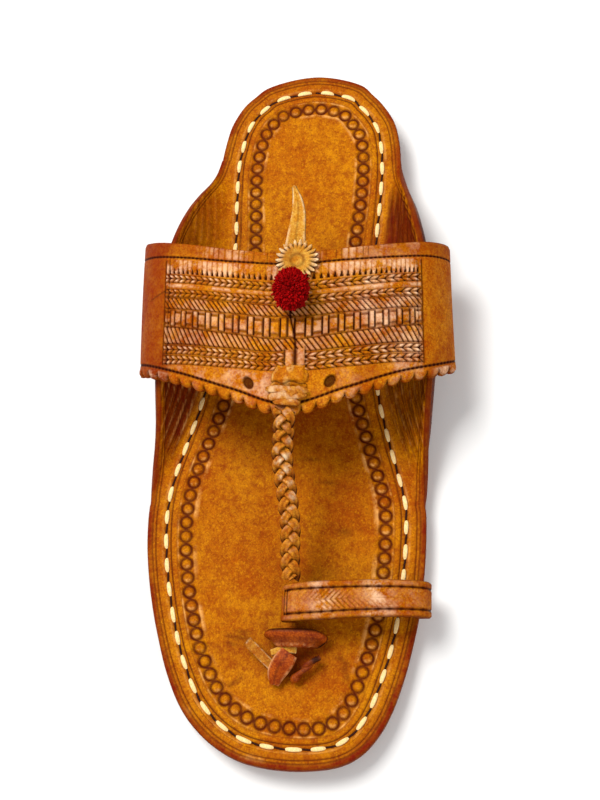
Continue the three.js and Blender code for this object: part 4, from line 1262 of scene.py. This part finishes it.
def make_tab():
    """The leather tab on the band, with a crease across its front."""
    rows, columns = 40, 60
    v = np.linspace(0, 1, rows)
    u = np.linspace(-1, 1, columns)
    vv, uu = np.meshgrid(v, u, indexing="ij")
    half = 4.9 + 1.5 * smooth(vv, 0.0, 0.45)
    s = 135.0 + 8.0 * vv
    x = 0.1 + 0.9 * (1 - vv) + uu * half
    edge = np.minimum(1 - np.abs(uu), np.minimum(vv, 1 - vv) * 1.2)
    swell = 1.3 * smooth(edge, 0, 0.3) + 0.45 * wave(x * 9, s * 9, 31)
    z = band_top(x, s) + 0.35 + swell
    z -= 0.5 * bell(vv, 0.78, 0.06)
    points = np.stack([x, s, z], axis=-1)
    dark = 0.8 * bell(vv + 0.05 * np.sin(x), 0.8, 0.05) + 0.6 * (1 - smooth(edge, 0.0, 0.06))
    pale = 0.7 * smooth(wave(x * 9, s * 9, 31), 0.0, 0.5)
    low = np.stack([x, s, band_top(x, s) + 0.1], axis=-1)[[0, -1]]
    shape = np.concatenate([low[:1], points, low[1:]], axis=0)
    dark = np.concatenate([dark[:1], dark, dark[-1:]], axis=0)
    pale = np.concatenate([pale[:1], pale, pale[-1:]], axis=0)
    faces = grid_faces(shape.shape[0], columns)
    add_piece(
        "front_tab_leather", shape, faces, tab_leather, ["front_tab"],
        {"dark": dark, "pale": pale},
    )


def make_wrap():
    """Flat thongs wound over the tip of the band, from which the braid starts."""
    r = np.random.default_rng(8)
    parts = []
    bands = [(144.0, -7.6, 7.2, 1.4, 0.1), (146.1, -6.9, 6.6, 1.5, -0.12), (148.2, -4.9, 4.4, 1.3, 0.08)]
    for s0, left, right, wide, skew in bands:
        t = np.linspace(0, 1, 26)
        x = left + (right - left) * t
        s = s0 + skew * (t - 0.5) * 8 + 0.5 * np.sin(np.pi * t)
        z = band_top(x, s) + 1.0 + 1.6 * np.sin(np.pi * t) ** 0.6
        ends = smooth(t, 0, 0.12) * (1 - smooth(t, 0.88, 1))
        line = np.column_stack([x, s, z])
        parts.append(tube(line, wide * (0.5 + 0.5 * ends), 0.8 * (0.4 + 0.6 * ends), 12, square=0.4))
    for x0, x1, s0, s1, wide in ((-3.6, 2.6, 143.8, 149.0, 1.3), (4.6, -1.4, 143.6, 148.6, 1.1)):
        t = np.linspace(0, 1, 20)
        x, s = x0 + (x1 - x0) * t, s0 + (s1 - s0) * t
        z = band_top(x, s) + 2.3 + 0.5 * np.sin(np.pi * t)
        parts.append(tube(np.column_stack([x, s, z]), wide, 0.55, 12, square=0.4))
    points, faces = join(parts)
    points = points + r.normal(0, 0.05, points.shape)
    # painted shade low down where the thongs meet the band, painted highlights in patches on their tops
    high = points[:, 2] - band_top(points[:, 0], points[:, 1])
    wear_and_sheen_patches = smooth(wave(points[:, 0] * 12, points[:, 1] * 12, 65), -0.2, 0.3)
    marks = {"dark": 0.85 * (1 - smooth(high, 0.5, 1.7)), "pale": 0.6 * smooth(high, 1.8, 2.8) * wear_and_sheen_patches}
    add_piece("braid_wrap_leather", points, faces, wrap_leather, ["braid_wrap"], marks)


def make_braid():
    """Three flat thongs plaited over one another."""
    path = curve(BRAID_LINE)
    run = lengths(path)
    count = 320
    at = np.linspace(0, run[-1], count)
    middle = resample(path, at, run)
    swing = 2.5 + (1.9 - 2.5) * at / run[-1]
    parts = []
    for strand in range(3):
        phase = (at / BRAID_PERIOD + strand / 3) * 2 * np.pi
        c = middle.copy()
        c[:, 0] += swing * np.sin(phase)
        c[:, 2] += 0.95 * np.sin(2 * phase)
        roll = 0.35 * np.cos(phase)
        wide = 1.6 + 0.12 * np.sin(phase * 3)
        points, faces = tube(c, wide, 0.68, BRAID_SIDES, up=(0, -0.3, 0.95), square=0.6)
        p = points.reshape(count, BRAID_SIDES, 3)
        p[..., 2] += roll[:, None] * (p[..., 0] - c[:, None, 0]) * 0.35
        parts.append((p.reshape(-1, 3), faces))
    points, faces = join(parts)
    shell = points.reshape(3, count, BRAID_SIDES, 3)
    up = shell[..., 2] - middle[None, :, None, 2]
    around = (np.arange(BRAID_SIDES) + 0.5) / BRAID_SIDES * 2 * np.pi
    ridge = bell(np.cos(around), 0, 0.3) * (np.sin(around) > 0)
    rim = smooth(np.abs(np.cos(around)), 0.7, 0.95)
    shell[..., 2] -= 0.16 * ridge
    # painted shade on the strands' lower sides and edges, a darker groove along each top, and painted
    # highlights in patches on their upper sides
    dark = 1 - smooth(up, -0.1, 0.9) + 0.5 * ridge + 0.5 * rim
    wear_and_sheen_patches = smooth(wave(shell[..., 0] * 9, shell[..., 1] * 9, 63), -0.25, 0.35)
    pale = smooth(up, 0.7, 1.5) * wear_and_sheen_patches * bell(shell[..., 1], 172, 20)
    add_piece(
        "braid_leather", shell, faces, thong_leather, ["braid"],
        {"dark": 0.75 * dark.ravel(), "pale": 0.95 * pale.ravel()},
    )


def strip_rows(line, count, up=(0, 0, 1)):
    """Middle line, side direction, width and distance along it, at even steps of a flat strip."""
    rows = curve(line)
    run = lengths(rows[:, :3])
    at = np.linspace(0, run[-1], count)
    picked = resample(rows, at, run)
    t = np.gradient(picked[:, :3], axis=0)
    side = np.cross(t, np.broadcast_to(np.asarray(up, float), t.shape))
    side /= np.maximum(1e-9, np.linalg.norm(side, axis=1, keepdims=True))
    return picked[:, :3], side, picked[:, 3], at


def make_strap():
    """Toe strap: tooled lines with stitches near both edges and a herringbone between them."""
    centre, _, width, at = strip_rows(STRAP_LINE, 420)
    columns = 60
    side = np.zeros_like(centre)
    side[:, 1] = 1.0
    u = np.linspace(-0.5, 0.5, columns)
    middle = centre[:, None] + side[:, None] * (width[:, None, None] * u[None, :, None])
    n = grid_normals(middle)
    n *= np.sign(n[len(centre) // 2, columns // 2, 2])
    across = u[None, :] * width[:, None]
    along = np.broadcast_to(at[:, None], across.shape)
    edge = width[:, None] / 2 - np.abs(across)
    line = bell(edge, 2.5, 0.46 + 0.16 * smooth(np.sin(along * 1.6), 0.6, 1.0)) * smooth(along, 10.0, 10.6)
    dashes = 0.9 + 0.1 * np.sin(along * 1.6)
    field = smooth(edge, 3.0, 3.5)
    start, end = 8.0, at[-1] - 10.5
    span = smooth(along, start + 5, start + 6) * (1 - smooth(along, end, end + 2))
    bone = ((along - np.abs(across)) / 1.9) % 1
    wear_and_sheen_patches = smooth(wave(along * 1.6, across * 3, 23), -0.35, 0.35)
    patch = bell(along, start + 21, 9) + bell(along, start + 40, 5)
    gap = (1 - smooth(np.abs(bone - 0.5), 0.1, 0.28)) * field * span * (0.1 + 0.7 * wear_and_sheen_patches * patch)
    gap = np.maximum(gap, bell(across, 0, 0.25) * field * span * 0.4 * patch)
    bars = sum(bell(along, start + k, 0.3) for k in (2.4, 3.9)) * smooth(edge, 1.9, 2.4)
    height = -0.34 * line * dashes - 0.2 * gap - 0.25 * bars + 0.12 * field * span
    dark = 1.1 * line * dashes + 0.65 * gap + 0.9 * bars + 0.5 * bell(edge, 0, 0.4)
    # pale: real edge wear with painted highlights, in shine patches and where the strap stands high; tone:
    # painted shade on its low parts, grime along its edges
    edge_wear = bell(edge, 1.2, 0.7)
    lit = smooth(centre[:, 2], 15, 22)[:, None]
    shine = 0.7 * bell(along, start + 17, 4) + 0.7 * bell(along, start + 36, 4.5)
    wear_and_highlight_patches = 0.5 + 0.5 * smooth(wave(along * 4, across * 5, 17), -0.3, 0.4)
    pale = (0.15 * edge_wear + 0.15 * field * (1 - gap) + shine * (1 - gap)) * lit * wear_and_highlight_patches
    grimy = 1 - smooth(wave(along * 2, across, 4), -0.2, 0.5)
    tone = 0.2 + 0.45 * (1 - lit) + 0.25 * smooth(edge_wear, 0.2, 1) * grimy
    height -= 0.5 * bell(edge, 0, 0.35)
    height += 0.1 * wave(along * 3, across * 4, 19)
    top = middle + n * (1.1 + height)[..., None]
    low = middle - n * 1.1
    under = low[:, ::-1][:, [0, 15, 30, 45, 59]]
    shape = np.concatenate([top, under], axis=1)
    total = shape.shape[1]
    marks = {
        "dark": np.concatenate([dark, 0.2 + 0 * under[..., 0]], axis=1),
        "pale": np.concatenate([pale, 0 * under[..., 0]], axis=1),
        "tone": np.concatenate([tone, 0.9 + 0 * under[..., 0]], axis=1),
    }
    faces = grid_faces(len(centre), total, wrap_columns=True)
    add_piece("toe_strap_leather", shape, faces, band_leather, ["toe_strap"], marks)


def make_post():
    """Rolled loop in front of the strap's root."""
    rows, sides = 60, 20
    line = curve(POST_LINE)
    path = resample(line, np.linspace(0, lengths(line)[-1], rows))
    t = np.linspace(0, 1, rows)
    points, faces = tube(path, 3.6 - 0.5 * np.abs(2 * t - 1) ** 3, 1.5, sides, up=(0, 0.6, 0.8), square=0.5)
    p = points.reshape(rows, sides, 3)
    ring = np.broadcast_to(np.sin((np.arange(sides) + 0.5) / sides * 2 * np.pi * 3)[None], (rows, sides))
    p = p + 0.12 * ring[..., None] * np.array([0, 0.3, 1.0])
    # painted shade at both ends, where the loop goes down, and along its back; a painted highlight along
    # its front
    dark = 0.35 * smooth(-ring, 0.4, 1.0) + 0.8 * (1 - smooth(t, 0, 0.08))[:, None]
    dark = dark + 0.8 * smooth(t, 0.92, 1)[:, None]
    front = p[..., 1] - path[:, None, 1]
    pale = 0.85 * bell(front, 2.6, 0.7) * bell(t, 0.5, 0.34)[:, None]
    dark = dark + 0.95 * (1 - smooth(front, -2.8, -1.2)) + 0.5 * (1 - smooth(t, 0.04, 0.16))[:, None]
    add_piece(
        "toe_post_leather", p, faces, knot_leather, ["toe_post"],
        {"dark": dark, "pale": pale},
    )


def make_thong_strip(name, line, replaced, material, thick, cup=0.0, pale_edges=0.5):
    """A flat cut end of thong, hollow or bowed across its width by its cup."""
    rows, columns = 60, 16
    centre, side, width, _ = strip_rows(line, rows)
    u = np.linspace(-0.5, 0.5, columns)
    middle = centre[:, None] + side[:, None] * (width[:, None, None] * u[None, :, None])
    middle[..., 2] += cup * (np.abs(u)[None] * 2) ** 2
    n = grid_normals(middle)
    n *= np.sign(n[rows // 2, columns // 2, 2])
    edge = np.broadcast_to(0.5 - np.abs(u), (rows, columns))
    half = thick / 2 * (1 - 0.45 * bell(edge, 0, 0.05))
    top = middle + n * half[..., None]
    low = (middle - n * half[..., None])[:, ::-1]
    shape = np.concatenate([top, low], axis=1)
    pale = pale_edges * (1 - smooth(edge, 0.04, 0.16))
    ends = smooth(np.linspace(0, 1, rows), 0.93, 1.0)[:, None]
    pale = np.maximum(pale, pale_edges * ends)
    fold = bell(u, 0, 0.05)[None] * (1.0 if cup else 0.3) * np.ones((rows, 1))
    marks = {
        "pale": np.concatenate([pale, 0 * pale], axis=1),
        "dark": np.concatenate([0.5 * fold, 0.6 + 0 * fold], axis=1),
    }
    total = columns * 2
    faces = grid_faces(rows, total, wrap_columns=True).tolist()
    faces.append(list(range(total)))
    faces.append(list(range((rows - 1) * total, rows * total))[::-1])
    add_piece(name, shape, faces, material, replaced, marks)


def make_twisted():
    """Two thin ends twisted round each other."""
    path = curve(TWISTED_END)
    run = lengths(path)
    at = np.linspace(0, run[-1], 80)
    middle = resample(path, at, run)
    parts = []
    for k in range(2):
        phase = at / 13.0 * 2 * np.pi + k * np.pi + 0.5
        c = middle + np.stack([0.7 * np.cos(phase), 0 * phase, 0.7 * np.sin(phase)], axis=-1)
        parts.append(tube(c, 0.95, 0.75, 10, square=0.3))
    nub_at = np.linspace(-1, 1, 12)
    nub_line = middle[-1] + np.stack([-1.5 * nub_at, 1.1 * nub_at, 0 * nub_at], axis=-1)
    nub_wide = 1.75 * np.sqrt(np.maximum(0.02, 1 - nub_at**2))
    parts.append(tube(nub_line, nub_wide, nub_wide * 0.8, 10))
    points, faces = join(parts)
    strand_dark = np.repeat(0.62 + 0.3 * np.sin(at * 1.1), 10)
    dark = np.concatenate([strand_dark, 0.5 * strand_dark, np.full(120, 0.25)])
    add_piece(
        "thong_end_twisted_leather", points, faces, knot_leather, ["thong_end_twisted"],
        {"dark": dark},
    )


def make_rosette():
    """Pinked round of leather with pleats towards its rim."""
    teeth, rings = 22, 26
    columns = teeth * 14
    angle = np.arange(columns) / columns * 2 * np.pi
    share = np.linspace(0.01, 1, rings)
    ss, aa = np.meshgrid(share, angle, indexing="ij")
    phase = aa * teeth
    tooth = 0.5 + 0.5 * np.cos(phase)
    radius = 7.8 * ss * (1 - 0.2 * (1 - tooth) * smooth(ss, 0.72, 1.0))
    x = 1.9 + radius * np.cos(aa)
    s = 96.8 - radius * np.sin(aa)
    pleat = 0.32 * ss * np.cos(phase) * smooth(ss, 0.35, 0.75)
    ripple = 0.3 * np.sin(aa * 5 + 0.7) * ss
    z = band_top(x, np.maximum(s, 93.4)) + 1.15 + pleat + 0.4 * ss + ripple + 0.5 * bell(ss, 0.6, 0.16)
    top = np.stack([x, s, z + 0.5], axis=-1)
    low = np.stack([x, s, z - 0.5], axis=-1)[::-1]
    shape = np.concatenate([top, low], axis=0)
    # painted shade in the pleat valleys, a painted contact shadow round the rim and painted shade on one
    # side
    valley = smooth(-np.cos(phase), 0.1, 0.8) * smooth(ss, 0.5, 0.72)
    dark = 0.85 * valley + 0.5 * bell(ss, 0.3, 0.08) + 0.4 * smooth(ss, 0.96, 1.0)
    shaded = 0.5 * smooth(-np.cos(aa + 0.6), 0.2, 1.0) * (1 - ss * 0.4)
    marks = {
        "dark": np.concatenate([dark, 0 * dark + 0.5], axis=0),
        "pale": np.concatenate([0.9 * smooth(ss, 0.55, 0.95) * (1 - 0.5 * valley), 0 * dark], axis=0),
        "tone": np.concatenate([shaded, 0 * dark + 0.5], axis=0),
    }
    faces = grid_faces(shape.shape[0], columns, wrap_rows=True, wrap_columns=True)
    add_piece("rosette_leather", shape, faces, rosette_leather, ["rosette"], marks)


def make_pompom():
    """Ball of wool: a soft core under many short bent fibres."""
    r = np.random.default_rng(5)
    size = np.array([5.8, 7.2, 5.6])
    centre = np.array([0.8, 109.8, band_top(0.8, 110.4) + GAP + 0.8 + size[2]])
    rings, columns = 22, 34
    lat = np.linspace(0.02, math.pi - 0.02, rings)
    lon = np.arange(columns) / columns * 2 * np.pi
    la, lo = np.meshgrid(lat, lon, indexing="ij")
    ball = np.stack([np.sin(la) * np.cos(lo), np.sin(la) * np.sin(lo), np.cos(la)], axis=-1)
    bump = 0.86 + 0.05 * np.sin(ball[..., 0] * 9 + 2) * np.sin(ball[..., 1] * 11)
    bump = bump + 0.03 * np.sin(ball[..., 2] * 13)
    core = centre + ball * bump[..., None] * size
    parts = [(core.reshape(-1, 3), grid_faces(rings, columns, wrap_columns=True).tolist())]
    count = 2300
    direction = r.normal(size=(count, 3))
    direction /= np.linalg.norm(direction, axis=1, keepdims=True)
    lump = 1 + 0.08 * np.sin(direction[:, 0] * 9 + 2) * np.sin(direction[:, 1] * 11)
    lump += 0.06 * np.sin(direction[:, 2] * 13 + 1)
    curl = r.normal(size=(count, 3)) * 0.9
    for k in range(count):
        d = direction[k]
        t = np.linspace(0, 1, 4)[:, None]
        root = centre + d * size * 0.78
        tip = centre + d * size * lump[k] * r.uniform(0.96, 1.05)
        line = root + (tip - root) * t + curl[k] * t * (1 - t) * 1.6 + curl[k] * 0.35 * t
        parts.append(tube(line, [0.4, 0.42, 0.4, 0.24], [0.4, 0.42, 0.4, 0.24], 4, up=(0.3, 0.5, 0.8)))
    points, faces = join(parts)
    add_piece("pompom_wool", points, faces, red_wool, ["pompom"])


make_outsole()
make_lift()
insole_bottom, insole_normal, insole_edge, insole_side = make_insole()
make_stitches()
make_linings(insole_bottom, insole_normal, insole_edge, insole_side)
make_band()
make_tab()
make_wrap()
make_braid()
make_strap()
make_post()
make_thong_strip(
    "thong_end_square_leather", SQUARE_END, ["thong_end_square"], wrap_leather,
    thick=1.7, pale_edges=0.8,
)
make_thong_strip(
    "thong_end_folded_leather", FOLDED_END, ["thong_end_folded"], knot_leather,
    thick=1.6, cup=-0.9, pale_edges=0.9,
)
make_twisted()
make_thong_strip(
    "knot_fold_leather", KNOT_FOLD, [], rosette_leather, thick=1.4, pale_edges=0.4
)
make_thong_strip(
    "tail_thong_leather", TAIL_LINE, ["tail_thong"], rosette_leather, thick=1.7, cup=0.3
)
make_rosette()
make_pompom()

# ---------------------------------------------------------------- stage and light


def make_floor():
    """A plain pale floor."""
    mesh = bpy.data.meshes.new("floor")
    r = FLOOR_HALF
    mesh.from_pydata([(-r, -r, 0), (r, -r, 0), (r, r, 0), (-r, r, 0)], [], [(0, 1, 2, 3)])
    material, tree, shader = node_tree("floor_paper")
    paint = Paint(tree)
    tint = paint.span(paint.noise(0.004, 2.0, 0.5), 0.3, 0.7)
    tree.links.new(paint.mix(tint, (0.9, 0.9, 0.9, 1), (0.93, 0.93, 0.93, 1)), shader.inputs["Base Color"])
    shader.inputs["Roughness"].default_value = 0.9
    mesh.materials.append(material)
    floor = bpy.data.objects.new("floor", mesh)
    bpy.context.scene.collection.objects.link(floor)


def add_light(name, place_at, power, wide, colour):
    """A square soft light that faces the sandal."""
    light = bpy.data.lights.new(name, "AREA")
    light.energy = power
    light.size = wide
    light.color = colour
    lamp = bpy.data.objects.new(name, light)
    lamp.location = place_at
    lamp.rotation_euler = (-Vector(place_at)).to_track_quat("-Z", "Y").to_euler()
    bpy.context.scene.collection.objects.link(lamp)


make_floor()
world = bpy.data.worlds.new("studio")
world.use_nodes = True
world.node_tree.nodes["Background"].inputs["Color"].default_value = (1.0, 1.0, 1.0, 1)
world.node_tree.nodes["Background"].inputs["Strength"].default_value = WORLD_STRENGTH
bpy.context.scene.world = world
add_light("key", (-0.4, 0.34, 0.96), power=12.0, wide=0.52, colour=(1.0, 0.99, 0.96))
add_light("side", (0.5, -0.5, 0.7), power=2.4, wide=0.5, colour=(1.0, 0.98, 0.96))
